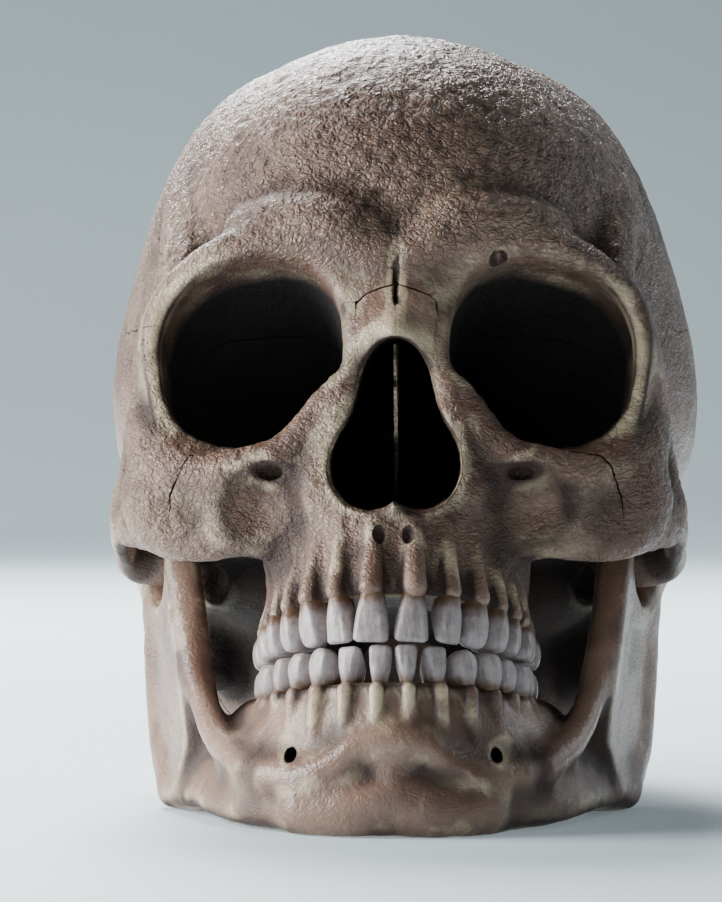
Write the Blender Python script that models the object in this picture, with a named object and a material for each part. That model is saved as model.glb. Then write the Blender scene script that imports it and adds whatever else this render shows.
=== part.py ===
"""A life-size human skull with its lower jaw, tipped back so that the jaw and the back of the head rest on a table.

The skull has no stand. It is modelled in its own upright frame: the root of the nose is the origin, x points to the
viewer's right, y to the back of the head and z up. Its masses are distance fields, melted into one another and
meshed, then parted into the bones by thin cuts along the sutures. Tables of places are in millimetres.
"""

import math
import random

import bmesh
import bpy
from mathutils import Matrix, Vector

MM = 0.001

# Driving dimensions, in metres.
TILT = math.radians(22.0)
NASION_HEIGHT = 0.1134
SUTURE_GAP = 0.0003
CELL = 0.0016
SHARP_ANGLE = math.radians(40.0)

# The colour and roughness of each bone.
FINISHES = {"frontal": ((0.36, 0.28, 0.22), 0.45), "parietal": ((0.33, 0.25, 0.19), 0.5),
            "temporal": ((0.31, 0.23, 0.18), 0.55), "occipital": ((0.31, 0.23, 0.17), 0.55),
            "sphenoid": ((0.17, 0.12, 0.09), 0.65), "zygomatic": ((0.38, 0.29, 0.21), 0.5),
            "maxilla": ((0.42, 0.34, 0.26), 0.5), "nasal": ((0.40, 0.31, 0.23), 0.45),
            "vomer": ((0.30, 0.23, 0.17), 0.6), "mandible": ((0.32, 0.23, 0.18), 0.45)}

# Widths of the teeth from the middle to the back, in millimetres.
UPPER_WIDTHS = (8.3, 6.9, 7.6, 7.0, 6.8, 10.2, 9.6)
LOWER_WIDTHS = (5.6, 6.1, 6.9, 7.0, 7.2, 11.0, 10.4)
UPPER_ARCH = (25.8, 39.5, 38.5)
LOWER_ARCH = (25.5, 37.5, 8.5)
OCCLUSAL_FRONT = -79.4
OCCLUSAL_SLOPE = 0.1775


# Fields: numbers known at every point of space, as sockets of a Geometry Nodes tree.

class Field:
    """One number at every point, with the usual arithmetic."""

    def __init__(self, socket):
        self.socket = socket

    def __add__(self, other):
        return calculate("ADD", self, other)

    def __radd__(self, other):
        return calculate("ADD", other, self)

    def __sub__(self, other):
        return calculate("SUBTRACT", self, other)

    def __rsub__(self, other):
        return calculate("SUBTRACT", other, self)

    def __mul__(self, other):
        return calculate("MULTIPLY", self, other)

    def __rmul__(self, other):
        return calculate("MULTIPLY", other, self)

    def __truediv__(self, other):
        return calculate("DIVIDE", self, other)

    def __pow__(self, other):
        return calculate("POWER", self, other)

    def __neg__(self):
        return calculate("MULTIPLY", self, -1.0)


def feed(node, values):
    """Give a node's inputs their values, which are fields or plain numbers."""
    for slot, value in zip(node.inputs, values):
        if isinstance(value, Field):
            node.id_data.links.new(value.socket, slot)
        else:
            slot.default_value = value


def node_on(kind, operation, values):
    tree = next(value.socket.id_data for value in values if isinstance(value, Field))
    node = tree.nodes.new(kind)
    if operation:
        node.operation = operation
    feed(node, values)
    return node


def calculate(operation, *values):
    return Field(node_on("ShaderNodeMath", operation, values).outputs[0])


def vector(operation, *values):
    node = node_on("ShaderNodeVectorMath", operation, values)
    return Field(node.outputs["Value" if operation in ("LENGTH", "DOT_PRODUCT") else "Vector"])


def maximum(a, b):
    return calculate("MAXIMUM", a, b)


def minimum(a, b):
    return calculate("MINIMUM", a, b)


def absolute(a):
    return calculate("ABSOLUTE", a)


def clamp(a):
    return minimum(maximum(a, 0.0), 1.0)


def length(x, y):
    return (x * x + y * y) ** 0.5


def melt(a, b, width):
    """Join two bodies with a fillet."""
    return calculate("SMOOTH_MIN", a, b, width * MM)


def common(a, b, width):
    """Keep what two bodies share, with a rounded edge."""
    return calculate("SMOOTH_MAX", a, b, width * MM)


def parts(point):
    """The three coordinates of a point field."""
    return [Field(socket) for socket in node_on("ShaderNodeSeparateXYZ", "", [point]).outputs]


def metres(place):
    return tuple(value * MM for value in place)


def new_group(name, inputs):
    """An empty node group that gives one number; returns its tree, its input fields and its end node."""
    tree = bpy.data.node_groups.new(name, "GeometryNodeTree")
    for label, kind in inputs:
        tree.interface.new_socket(label, in_out="INPUT", socket_type=kind)
    tree.interface.new_socket("Distance", in_out="OUTPUT", socket_type="NodeSocketFloat")
    start = tree.nodes.new("NodeGroupInput")
    end = tree.nodes.new("NodeGroupOutput")
    return tree, [Field(start.outputs[label]) for label, kind in inputs], end


def use_group(name, *values):
    tree = values[0].socket.id_data
    node = tree.nodes.new("GeometryNodeGroup")
    node.node_tree = bpy.data.node_groups[name]
    feed(node, values)
    return Field(node.outputs[0])


def shape(build):
    """Mark a function of a point as a shape, whose nodes are made once in a group of their own."""
    def use(point):
        if build.__name__ not in bpy.data.node_groups:
            tree, inputs, end = new_group(build.__name__, [("Point", "NodeSocketVector")])
            tree.links.new(build(inputs[0]).socket, end.inputs[0])
        return use_group(build.__name__, point)
    return use


def make_ellipsoid_group():
    kinds = [("Point", "NodeSocketVector"), ("Centre", "NodeSocketVector"), ("Radii", "NodeSocketVector")]
    tree, (point, centre, radii), end = new_group("ellipsoid", kinds)
    scaled = vector("DIVIDE", vector("SUBTRACT", point, centre), radii)
    near = vector("LENGTH", scaled)
    slope = vector("LENGTH", vector("DIVIDE", scaled, radii))
    distance = near * (near - 1.0) / (slope + 0.000001)
    tree.links.new(distance.socket, end.inputs[0])


def make_rod_group():
    kinds = [("Point", "NodeSocketVector"), ("Start", "NodeSocketVector"), ("Run", "NodeSocketVector"),
             ("Flatness", "NodeSocketVector"), ("First Radius", "NodeSocketFloat"), ("Growth", "NodeSocketFloat")]
    tree, (point, start, run, flatness, first, growth), end = new_group("rod", kinds)
    offset = vector("SUBTRACT", vector("DIVIDE", point, flatness), start)
    along = clamp(vector("DOT_PRODUCT", offset, run) / vector("DOT_PRODUCT", run, run))
    scale_run = tree.nodes.new("ShaderNodeVectorMath")
    scale_run.operation = "SCALE"
    tree.links.new(run.socket, scale_run.inputs["Vector"])
    tree.links.new(along.socket, scale_run.inputs["Scale"])
    away = vector("LENGTH", vector("SUBTRACT", offset, Field(scale_run.outputs["Vector"])))
    distance = away - (first + growth * along)
    tree.links.new(distance.socket, end.inputs[0])


def ellipsoid(point, centre, radii):
    return use_group("ellipsoid", point, metres(centre), metres(radii))


def rod(point, start, finish, first, last, flat=(1, 1, 1)):
    """A bar with round ends, from one place and radius to another; flat widens it along an axis."""
    a = [value * MM / wide for value, wide in zip(start, flat)]
    b = [value * MM / wide for value, wide in zip(finish, flat)]
    run = [j - i for i, j in zip(a, b)]
    return use_group("rod", point, a, run, flat, first * MM, (last - first) * MM)


def spline(points, steps):
    """Places and radii along a smooth curve through (x, y, z, radius) points."""
    first = [2 * a - b for a, b in zip(points[0], points[1])]
    last = [2 * a - b for a, b in zip(points[-1], points[-2])]
    rows = [first, *points, last]
    found = []
    for before, start, finish, after in zip(rows, rows[1:], rows[2:], rows[3:]):
        for i in range(steps):
            t = i / steps
            found.append([0.5 * (2 * b + (c - a) * t + (2 * a - 5 * b + 4 * c - d) * t * t
                                 + (3 * b - a - 3 * c + d) * t ** 3)
                          for a, b, c, d in zip(before, start, finish, after)])
    return found + [list(points[-1])]


def strand(point, points, flat=(1, 1, 1), steps=3):
    """A smooth bar of changing thickness through (x, y, z, radius) points."""
    rows = spline(points, steps)
    bars = [rod(point, a[:3], b[:3], a[3], b[3], flat) for a, b in zip(rows, rows[1:])]
    found = bars[0]
    for bar in bars[1:]:
        found = minimum(found, bar)
    return found


# The cranium, right half; the left half mirrors it.

@shape
def braincase(p):
    vault = ellipsoid(p, (0, 98, 26), (61.5, 84.5, 69))
    forehead = ellipsoid(p, (0, 51, 30), (51, 51.5, 48))
    side = ellipsoid(p, (31, 102, 14), (36.7, 48, 46))
    back = ellipsoid(p, (0, 139, 6), (48, 42.5, 44))
    nape = ellipsoid(p, (0, 130, -22), (40, 38, 33))
    below = ellipsoid(p, (18, 122, -39), (31, 32, 32))
    crown = ellipsoid(p, (25.5, 85, 34.5), (33.5, 57, 49.5))
    temple = ellipsoid(p, (35, 56, -12), (21.5, 27, 26))
    d = melt(vault, forehead, 18)
    d = melt(d, side, 18)
    d = melt(d, crown, 12)
    d = melt(d, back, 18)
    d = melt(d, melt(below, nape, 14), 18)
    return melt(d, temple, 16)


@shape
def temporal_line(p):
    return strand(p, [(50, 21, -3, 4), (47.5, 24, 9, 4.5), (46.2, 30, 22, 6), (44.0, 41, 35, 9), (40, 56, 46, 12)])


@shape
def brow(p):
    arch = strand(p, [(3, 5.5, 10, 8), (13, 4.2, 15.5, 8), (24, 6.8, 19, 6.5), (33, 12.5, 19.5, 4.8)])
    rim = strand(p, [(11, 7, 2, 5), (17, 6.5, 10.5, 5), (28, 7.5, 13.5, 5.5), (39, 12, 11, 5.6),
                     (46.5, 17, 5.5, 5.2), (50.5, 20.5, -2, 4.6), (51.5, 22, -8, 4)])
    return melt(arch, rim, 5)


@shape
def base(p):
    keel = ellipsoid(p, (0, 72, -30), (17, 30, 18))
    petrous = ellipsoid(p, (23, 87, -33), (25, 17, 15))
    condyle = ellipsoid(p, (13, 98, -54), (6, 10, 5))
    wing = strand(p, [(14, 48, -34, 4), (15, 49, -48, 2.8), (17, 50, -61, 2.0)], (1, 3, 1), 2)
    d = melt(keel, petrous, 10)
    d = melt(d, condyle, 5)
    return melt(d, wing, 6)


@shape
def lower_rim(p):
    return strand(p, [(51, 21.5, -7, 4), (53.5, 24, -16, 4.3), (52, 22, -27, 6), (43, 15.5, -35.5, 5),
                      (33, 10, -37, 4.5), (23, 7, -34.5, 4.5), (15.5, 5.5, -24, 4), (11, 6, -8, 4.5)])


@shape
def cheek(p):
    body = ellipsoid(p, (46, 23.5, -38), (13.5, 9, 12.5))
    flare = strand(p, [(51.5, 22.5, -8, 3.4), (54, 27, -17, 3.6), (56.5, 32, -26, 4), (58.5, 39, -34, 4)])
    edge = strand(p, [(30, 16, -46, 5), (40, 21, -49, 4.4), (50.5, 27, -45, 4.4), (57.5, 36, -40.5, 4)])
    front = ellipsoid(p, (27, 17, -42), (15, 10, 12))
    d = melt(body, edge, 8)
    d = melt(d, flare, 8)
    return melt(d, front, 8)


@shape
def cheek_arch(p):
    return strand(p, [(56, 33, -37, 4), (60, 43, -37, 3.2), (60.8, 55, -36.5, 2.9), (59.5, 68, -34, 3.2),
                      (57.5, 82, -28, 4)], (1, 1, 1.7))


@shape
def ear_bone(p):
    tubercle = ellipsoid(p, (53, 68.5, -36), (10.5, 6, 6.5))
    root = strand(p, [(57, 76, -29, 4.5), (59.5, 92, -23, 4.5), (59, 106, -18, 5)])
    mastoid = strand(p, [(49.5, 103, -25, 12), (46, 102, -43, 9), (44.5, 100, -52, 5)])
    d = melt(tubercle, root, 7)
    return melt(d, mastoid, 10)


@shape
def nose_bridge(p):
    ridge = strand(p, [(0, 6, 4, 6), (0, 3.4, -4, 5), (0, -1.4, -11.5, 4.4)])
    flank = strand(p, [(7, 7, -2, 5), (8.5, 4.6, -14, 4.4), (12.5, 5, -30, 4.6), (15, 8, -42, 6)])
    between = strand(p, [(3.5, 5, -2, 4.6), (4.5, 1.8, -11, 4.4)])
    return melt(melt(ridge, flank, 9), between, 6)


def ring(x, y, wide, deep, back):
    """Distance in plan to an ellipse centred on the middle line."""
    near = length(x / (wide * MM), (y - back * MM) / (deep * MM))
    slope = length(x / (wide * MM) ** 2, (y - back * MM) / (deep * MM) ** 2)
    return near * (near - 1.0) / (slope + 0.000001)


def tooth_places(widths, arch):
    """Centre (x, y) and outward direction of each tooth of the right side, in order from the middle."""
    wide, deep, back = arch
    places = []
    reach = 0.0
    angle = 0.0
    travelled = 0.0
    for width in widths:
        while travelled < reach + width / 2:
            angle += 0.0005
            travelled += 0.0005 * math.hypot(wide * math.cos(angle), deep * math.sin(angle))
        reach += width
        x = wide * math.sin(angle)
        y = back - deep * math.cos(angle)
        out = Vector((x / wide ** 2, (y - back) / deep ** 2, 0)).normalized()
        places.append((x, y, out))
    return places


def upper_gum(y):
    return -69.1 + 0.075 * y


def lower_gum(y):
    return 32.0 - 6.6 * min(max((y + 30) / 35, 0), 1)


def root_ridges(p, widths, arch, gum, up, out_shift, spread):
    """Swellings that the roots raise on the outside of a jaw; large teeth have two."""
    found = None
    for (x, y, out), width in zip(tooth_places(widths, arch), widths):
        double = width > 9
        for side in (-0.23, 0.23) if double else (0,):
            radius = 2.3 if double else 0.34 * width
            start = Vector((x, y, gum(y) + up * 1.4)) + out * out_shift + out.cross((0, 0, 1)) * side * width
            finish = start + Vector((0, 0, up * (11 if double else 15))) + out * spread
            bar = rod(p, start, finish, radius, radius * 0.7)
            found = bar if found is None else minimum(found, bar)
    return found


@shape
def upper_jaw(p):
    x, y, z = parts(p)
    body = ellipsoid(p, (0, 30, -38), (30, 26, 32))
    outline = ring(x, y, 28.3, 41.5, 40)
    floor = upper_gum(0) * MM + y * 0.075 - z
    block = common(common(outline, floor, 3), common(z + 44 * MM, y - 45 * MM, 6), 6)
    palate = common(ring(x, y, 17.5, 30, 42), z + 56 * MM, 8)
    spine = rod(p, (0, 4, -50.5), (0, -2, -49), 3, 1.5)
    d = melt(body, block, 8)
    d = melt(d, root_ridges(p, UPPER_WIDTHS, UPPER_ARCH, upper_gum, 1, 2.0, -2.6), 1.6)
    d = melt(d, spine, 4)
    return common(d, -palate, 5)


@shape
def eye_socket(p):
    """A rounded opening behind the slanting rim, which narrows to a point deep inside."""
    x, y, z = parts(p)
    rim = 4 * MM + 0.38 * maximum(x - 12 * MM, 0.0)
    depth = clamp((y - rim) / (54 * MM - rim))
    size = 1.0 - 0.05 * depth - 0.8 * depth * depth
    across = x - (11.6 + 19.4 * size) * MM
    up = z + (10.2 - 1.0 * depth) * MM
    tilt = math.radians(-5)
    u = absolute(across * math.cos(tilt) + up * math.sin(tilt)) / (19.4 * MM)
    v = absolute(up * math.cos(tilt) - across * math.sin(tilt)) / (19.5 * MM)
    rounded = (u ** 2.5 + v ** 2.5) ** (1 / 2.5)
    corner = (across * 0.64 + up * 0.77) / (-17.4 * MM)
    return maximum((calculate("SMOOTH_MAX", rounded, corner, 0.12) - size) * (17 * MM), y - 54 * MM)


@shape
def nose_passage(p):
    """The pear-shaped opening of the nose, and the passage behind it."""
    x, y, z = parts(p)
    lift = z * math.cos(TILT) - y * math.sin(TILT)
    upper = length(x / (8.2 * MM), (lift + 25.5 * MM) / (15 * MM)) * (8.2 * MM) - 8.2 * MM
    lower = length((x - 6 * MM) / (7.5 * MM), (lift + 37 * MM) / (8.9 * MM)) * (7.5 * MM) - 7.5 * MM
    return maximum(maximum(melt(upper, lower, 9), y - 52 * MM), -52 * MM - z)


def above_table(p):
    """Height over the table that the tipped skull rests on."""
    x, y, z = parts(p)
    return z * math.cos(TILT) - y * math.sin(TILT) + NASION_HEIGHT


@shape
def jaw_joint(p):
    """The hollow that the lower jaw's knuckle sits in, with room for its neck below."""
    return melt(rod(p, (43, 80, -36), (62, 79, -36), 5.6, 5.6), rod(p, (51, 80, -38), (51, 77, -66), 6, 7.5), 3)


@shape
def cranium(p):
    socket = eye_socket(p)
    x, y, z = parts(p)
    socket_wall = common(socket - 4 * MM, 14 * MM - y, 4)
    face = melt(melt(lower_rim(p), cheek(p), 8), nose_bridge(p), 6)
    face = melt(face, upper_jaw(p), 8)
    face = melt(face, socket_wall, 5)
    d = melt(braincase(p), temporal_line(p), 6)
    d = melt(d, brow(p), 7)
    d = melt(d, base(p), 12)
    d = melt(d, face, 7)
    d = melt(d, ear_bone(p), 9)
    d = melt(d, cheek_arch(p), 5)
    d = common(d, -ellipsoid(p, (30, 6, -49), (7, 7, 8)), 8)
    d = common(d, -socket, 3)
    d = common(d, -nose_passage(p), 2)
    d = common(d, -ellipsoid(p, (0, 106, -57), (15, 18, 15)), 5)
    d = common(d, -rod(p, (52, 92, -30), (70, 92, -30), 4, 4), 2)
    d = common(d, -jaw_joint(p), 3)
    return maximum(d, -above_table(p))


@shape
def nose_wall(p):
    """The thin upright plate that parts the nose, as far as the passage reaches."""
    x, y, z = parts(p)
    d = maximum(x - 0.8 * MM, nose_passage(p) + SUTURE_GAP)
    return maximum(d, maximum(7 * MM - y, z + 3 * MM))


# The lower jaw, in the frame of the table: y from the root of the nose, z from the table.

def outline_side(y, z, corners, width):
    """Distance to an upright plate whose side view has these corners, given anticlockwise."""
    found = None
    for (ay, az), (by, bz) in zip(corners, corners[1:] + corners[:1]):
        run = math.hypot(by - ay, bz - az)
        edge = (y - ay * MM) * ((bz - az) / run) + (z - az * MM) * ((ay - by) / run)
        found = edge if found is None else common(found, edge, width)
    return found


@shape
def jaw_body(p):
    x, y, z = parts(p)
    rise = clamp(z / (28 * MM))
    lean = rise ** 1.2
    foot = clamp(1.0 - z / (9 * MM))
    wide = (46.6 - 20.3 * lean - 1.6 * foot * foot) * MM
    deep = (76.0 - 34.5 * lean) * MM
    along = y - (46.5 - 33.0 * lean) * MM
    near = length(x / wide, along / deep)
    slope = length(x / (wide * wide), along / (deep * deep))
    plan = near * (near - 1.0) / (slope + 0.000001)
    top = (32.2 - 6.6 * clamp((y + 30 * MM) / (35 * MM))) * MM
    notch = clamp(1.0 - absolute(y - 8 * MM) / (22 * MM)) * (1.6 * MM)
    d = common(absolute(plan) - (6.2 - 1.9 * rise) * MM, z - top, 5)
    d = common(d, notch - z, 8)
    return common(d, y - (36.0 - 15.0 * rise) * MM, 6)


@shape
def jaw_ramus(p):
    x, y, z = parts(p)
    corners = [(9, 17), (24, 4), (36, 2.2), (45, 8), (53, 26), (61, 46), (57, 52), (33, 61), (27, 60), (18, 40)]
    plate = outline_side(y, z, corners, 6)
    plate = common(plate, 11.5 * MM - length(y - 45.5 * MM, z - 56.5 * MM), 3)
    middle = 49.8 * MM + (y - 38 * MM) * 0.25 + (z - 20 * MM) * 0.02
    return common(plate, absolute(x - middle) - 2.9 * MM, 4)


@shape
def jaw_bars(p):
    knuckle = melt(rod(p, (47, 61.5, 51), (56.5, 60.5, 51.5), 3.8, 3.8),
                   rod(p, (51.5, 57, 42), (51.5, 60.5, 49), 3.8, 4), 5)
    border = strand(p, [(48.5, 36, 6, 4.5), (51, 46, 14, 4.2), (52.2, 52, 28, 3.9), (52, 57, 42, 3.6)])
    crest = strand(p, [(46.8, 30, 60, 2), (45.2, 22.5, 44, 2.5), (42.8, 13.5, 30, 2.8), (38.5, 0, 19, 3.2),
                       (31.5, -16, 13, 2.8)])
    return melt(melt(border, knuckle, 5), crest, 7)


@shape
def jaw_chin(p):
    boss = strand(p, [(0, -31, 17, 3.5), (0, -32.5, 9, 4.6), (8, -32, 6, 4.8), (18, -28, 5.5, 4.2)])
    brace = strand(p, [(0, -33.6, 19.5, 2.5), (7, -33.2, 18.5, 2.5), (12, -32, 15, 2.6), (18, -28.8, 12.3, 2.7),
                       (26, -22, 12, 2.6)])
    return melt(boss, brace, 7)


@shape
def lower_jaw(p):
    x, y, z = parts(p)
    d = melt(jaw_body(p), jaw_ramus(p), 9)
    d = melt(d, jaw_bars(p), 8)
    d = melt(d, jaw_chin(p), 9)
    d = melt(d, root_ridges(p, LOWER_WIDTHS, LOWER_ARCH, lower_gum, -1, 3.0, 1.0), 1.4)
    return maximum(d, -z)


# Meshing and cutting.

def clear_scene():
    for item in list(bpy.data.objects):
        bpy.data.objects.remove(item, do_unlink=True)


def link(item):
    bpy.context.scene.collection.objects.link(item)
    return item


def apply_modifiers(item):
    """Replace an object's mesh with what its modifiers make of it."""
    shown = item.evaluated_get(bpy.context.evaluated_depsgraph_get())
    mesh = bpy.data.meshes.new_from_object(shown)
    item.modifiers.clear()
    item.data = mesh


def solid_of(name, field, low, high, cell, triangles):
    """Mesh a field between two corners, then thin the mesh to about that many triangles."""
    tree = bpy.data.node_groups.new(name, "GeometryNodeTree")
    tree.interface.new_socket("Geometry", in_out="OUTPUT", socket_type="NodeSocketGeometry")
    place = tree.nodes.new("GeometryNodeInputPosition")
    mirrored = vector("ABSOLUTE", Field(place.outputs[0]))
    own = parts(Field(place.outputs[0]))
    join = tree.nodes.new("ShaderNodeCombineXYZ")
    feed(join, [parts(mirrored)[0], own[1], own[2]])
    density = -field(Field(join.outputs[0]))
    steps = [max(2, round((b - a) * MM / cell) + 1) for a, b in zip(low, high)]
    cube = tree.nodes.new("GeometryNodeVolumeCube")
    feed(cube, [density, -1.0, metres(low), metres(high), *steps])
    skin = tree.nodes.new("GeometryNodeVolumeToMesh")
    tree.links.new(cube.outputs["Volume"], skin.inputs["Volume"])
    skin.inputs["Threshold"].default_value = 0.0
    end = tree.nodes.new("NodeGroupOutput")
    tree.links.new(skin.outputs["Mesh"], end.inputs[0])
    item = link(bpy.data.objects.new(name, bpy.data.meshes.new(name)))
    item.modifiers.new("field", "NODES").node_group = tree
    apply_modifiers(item)
    thin = item.modifiers.new("thin", "DECIMATE")
    thin.ratio = triangles / (2.0 * len(item.data.polygons))
    apply_modifiers(item)
    return item


def boolean(item, other, operation, solver="EXACT"):
    """Change an object by another one, or by every object of a collection."""
    step = item.modifiers.new(operation.lower(), "BOOLEAN")
    step.operation = operation
    step.solver = solver
    if isinstance(other, bpy.types.Collection):
        step.operand_type = "COLLECTION"
        step.collection = other
    else:
        step.object = other
    apply_modifiers(item)


def keep_largest(item):
    """Drop stray scraps that a cut leaves: only the surface with the most volume stays."""
    bm = bmesh.new()
    bm.from_mesh(item.data)
    left = set(bm.faces)
    groups = []
    while left:
        stack = [left.pop()]
        group = list(stack)
        while stack:
            for edge in stack.pop().edges:
                near = [face for face in edge.link_faces if face in left]
                left.difference_update(near)
                stack.extend(near)
                group.extend(near)
        groups.append(group)
    groups.sort(key=lambda faces: sum(face.calc_area() for face in faces))
    scraps = [face for group in groups[:-1] for face in group]
    bmesh.ops.delete(bm, geom=scraps, context="FACES")
    bmesh.ops.triangulate(bm, faces=bm.faces)
    bm.to_mesh(item.data)
    bm.free()


def prism(name, corners, axis, start, finish, grow=0.0):
    """A closed block: a flat outline in millimetres, in the plane across an axis, drawn out along that axis.

    Corners are (y, z) for axis 0 and (x, z) for axis 1. Grow pushes every face outwards by that distance.
    """
    bm = bmesh.new()
    rows = []
    for level in (start, finish):
        places = [(level, u, v) if axis == 0 else (u, level, v) for u, v in corners]
        rows.append([bm.verts.new(metres(place)) for place in places])
    bm.faces.new(rows[0])
    bm.faces.new(reversed(rows[1]))
    for i, vertex in enumerate(rows[0]):
        j = (i + 1) % len(corners)
        bm.faces.new((vertex, rows[1][i], rows[1][j], rows[0][j]))
    bmesh.ops.recalc_face_normals(bm, faces=bm.faces)
    mesh = bpy.data.meshes.new(name)
    bm.to_mesh(mesh)
    bm.free()
    block = link(bpy.data.objects.new(name, mesh))
    if grow:
        skin = block.modifiers.new("grow", "SOLIDIFY")
        skin.thickness = grow
        skin.offset = 1.0
        skin.use_even_offset = True
        skin.use_rim = False
        apply_modifiers(block)
        keep_outer(block)
    block.hide_render = True
    block.display_type = "WIRE"
    return block


def keep_outer(block):
    """Keep only the outer skin of a thickened block."""
    bm = bmesh.new()
    bm.from_mesh(block.data)
    bm.faces.ensure_lookup_table()
    half = len(bm.faces) // 2
    outer = max((bm.faces[:half], bm.faces[half:]), key=lambda faces: sum(face.calc_area() for face in faces))
    spare = [face for face in bm.faces if face not in set(outer)]
    bmesh.ops.delete(bm, geom=spare, context="FACES")
    bmesh.ops.recalc_face_normals(bm, faces=bm.faces)
    bm.to_mesh(block.data)
    bm.free()


def block_of(outlines, grow=0.0):
    """One closed block from several that overlap."""
    first, *others = [prism("block", *outline, grow) for outline in outlines]
    for other in others:
        boolean(first, other, "UNION")
        bpy.data.objects.remove(other, do_unlink=True)
    return first


def peel(body, name, *outlines):
    """Take one bone off a body: what lies in the blocks becomes the bone, and the body keeps the rest less a gap."""
    bone = link(body.copy())
    bone.data = body.data.copy()
    bone.name = name
    inner = block_of(outlines)
    outer = block_of(outlines, SUTURE_GAP)
    boolean(bone, inner, "INTERSECT")
    boolean(body, outer, "DIFFERENCE")
    keep_largest(bone)
    bpy.data.objects.remove(inner, do_unlink=True)
    bpy.data.objects.remove(outer, do_unlink=True)
    return bone


# Teeth: eight-sided crowns, widest below the gum line and narrowing to a root sunk in the jaw.

def tooth(collection, name, centre, out, width, kind, gum, tip, lean):
    """One tooth. Centre and out are its place on the arch and its outward direction; gum and tip give heights."""
    depth = {"front": 6.6, "eye": 7.8, "cheek": 8.6, "grinder": 10.2}[kind]
    edge = {"front": 0.30, "eye": 0.42, "cheek": 0.78, "grinder": 0.86}[kind]
    wide = (width - 0.35) / 2
    crown = tip(centre[1]) - gum(centre[1])
    rows = [(-5.0 / abs(crown), 0.62, 0.60), (-0.03, 0.84, 0.84), (0.55, 1.0, 1.0), (0.9, 0.97, edge + 0.18),
            (1.0, 0.84, edge)]
    across = Vector((0, 0, 1)).cross(out)
    bm = bmesh.new()
    made = []
    for share, spread, thick in rows:
        loop = []
        for i in range(8):
            angle = math.radians(22.5 + 45 * i)
            u = math.copysign(abs(math.cos(angle)) ** 0.62, math.cos(angle)) * wide * spread
            v = math.copysign(abs(math.sin(angle)) ** 0.62, math.sin(angle)) * depth / 2 * thick
            place = Vector((*centre, 0)) + across * u + out * (v + lean * crown * share)
            level = place.y if share > 0.6 else centre[1]
            place.z = gum(level) + (tip(level) - gum(level)) * share
            loop.append(bm.verts.new(place * MM))
        made.append(loop)
    for lower, upper in zip(made, made[1:]):
        for i in range(8):
            j = (i + 1) % 8
            bm.faces.new((lower[i], lower[j], upper[j], upper[i]))
    bm.faces.new(made[0])
    bm.faces.new(made[-1])
    bmesh.ops.recalc_face_normals(bm, faces=bm.faces)
    mesh = bpy.data.meshes.new(name)
    bm.to_mesh(mesh)
    bm.free()
    collection.objects.link(bpy.data.objects.new(name, mesh))


TOOTH_KINDS = ("front", "front", "eye", "cheek", "cheek", "grinder", "grinder")


def tooth_row(name, widths, arch, gum, tip, lean, seed):
    """Both halves of one row of teeth, each tooth a little off its neighbour in height and turn."""
    chance = random.Random(seed)
    row = bpy.data.collections.new(name)
    bpy.context.scene.collection.children.link(row)
    for side in (1, -1):
        for i, (x, y, out) in enumerate(tooth_places(widths, arch)):
            turn = Matrix.Rotation(math.radians(chance.uniform(-5, 5)), 3, "Z")
            outward = turn @ Vector((out.x * side, out.y, 0))
            more = chance.uniform(-0.2, 0.2)
            shift = outward * chance.uniform(-0.3, 0.3)
            centre = (x * side + shift.x, y + shift.y)
            tooth(row, f"{name}_{i}_{side}", centre, outward, widths[i], TOOTH_KINDS[i], gum,
                  lambda level, more=more: tip(level) + more, lean)
    return row


def drop_collection(collection):
    for item in list(collection.objects):
        bpy.data.objects.remove(item, do_unlink=True)
    bpy.data.collections.remove(collection)


def upper_tip(y):
    return OCCLUSAL_FRONT + OCCLUSAL_SLOPE * y + 0.35


def lower_tip(y):
    """The upper teeth's biting plane, seen in the table's frame, less a hair."""
    pitch = math.atan(OCCLUSAL_SLOPE) - TILT
    front = OCCLUSAL_FRONT * math.cos(TILT) + NASION_HEIGHT / MM
    return front + (y - OCCLUSAL_FRONT * math.sin(TILT)) * math.tan(pitch) - 0.35


# Placing and finishing.

def tip_back(item):
    """Turn a body from the skull's upright frame to the table's."""
    lift = Matrix.Translation((0, 0, NASION_HEIGHT))
    item.data.transform(lift @ Matrix.Rotation(-TILT, 4, "X"))


def paint(item, colour, roughness):
    """Smooth shading and a plain bone colour."""
    item.data.shade_smooth()
    item.data.set_sharp_from_angle(angle=SHARP_ANGLE)
    material = bpy.data.materials.new(item.name)
    material.use_nodes = True
    shader = material.node_tree.nodes["Principled BSDF"]
    shader.inputs["Base Color"].default_value = (*colour, 1.0)
    shader.inputs["Roughness"].default_value = roughness
    item.data.materials.clear()
    item.data.materials.append(material)
    material.diffuse_color = (*colour, 1.0)


def centre_on_table(items):
    """Put the model's middle over the origin and its lowest point at height zero."""
    places = [vertex.co for item in items for vertex in item.data.vertices]
    low = [min(place[i] for place in places) for i in range(3)]
    high = [max(place[i] for place in places) for i in range(3)]
    shift = Matrix.Translation((-(low[0] + high[0]) / 2, -(low[1] + high[1]) / 2, -low[2]))
    for item in items:
        item.data.transform(shift)
        item.data.update()


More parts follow.
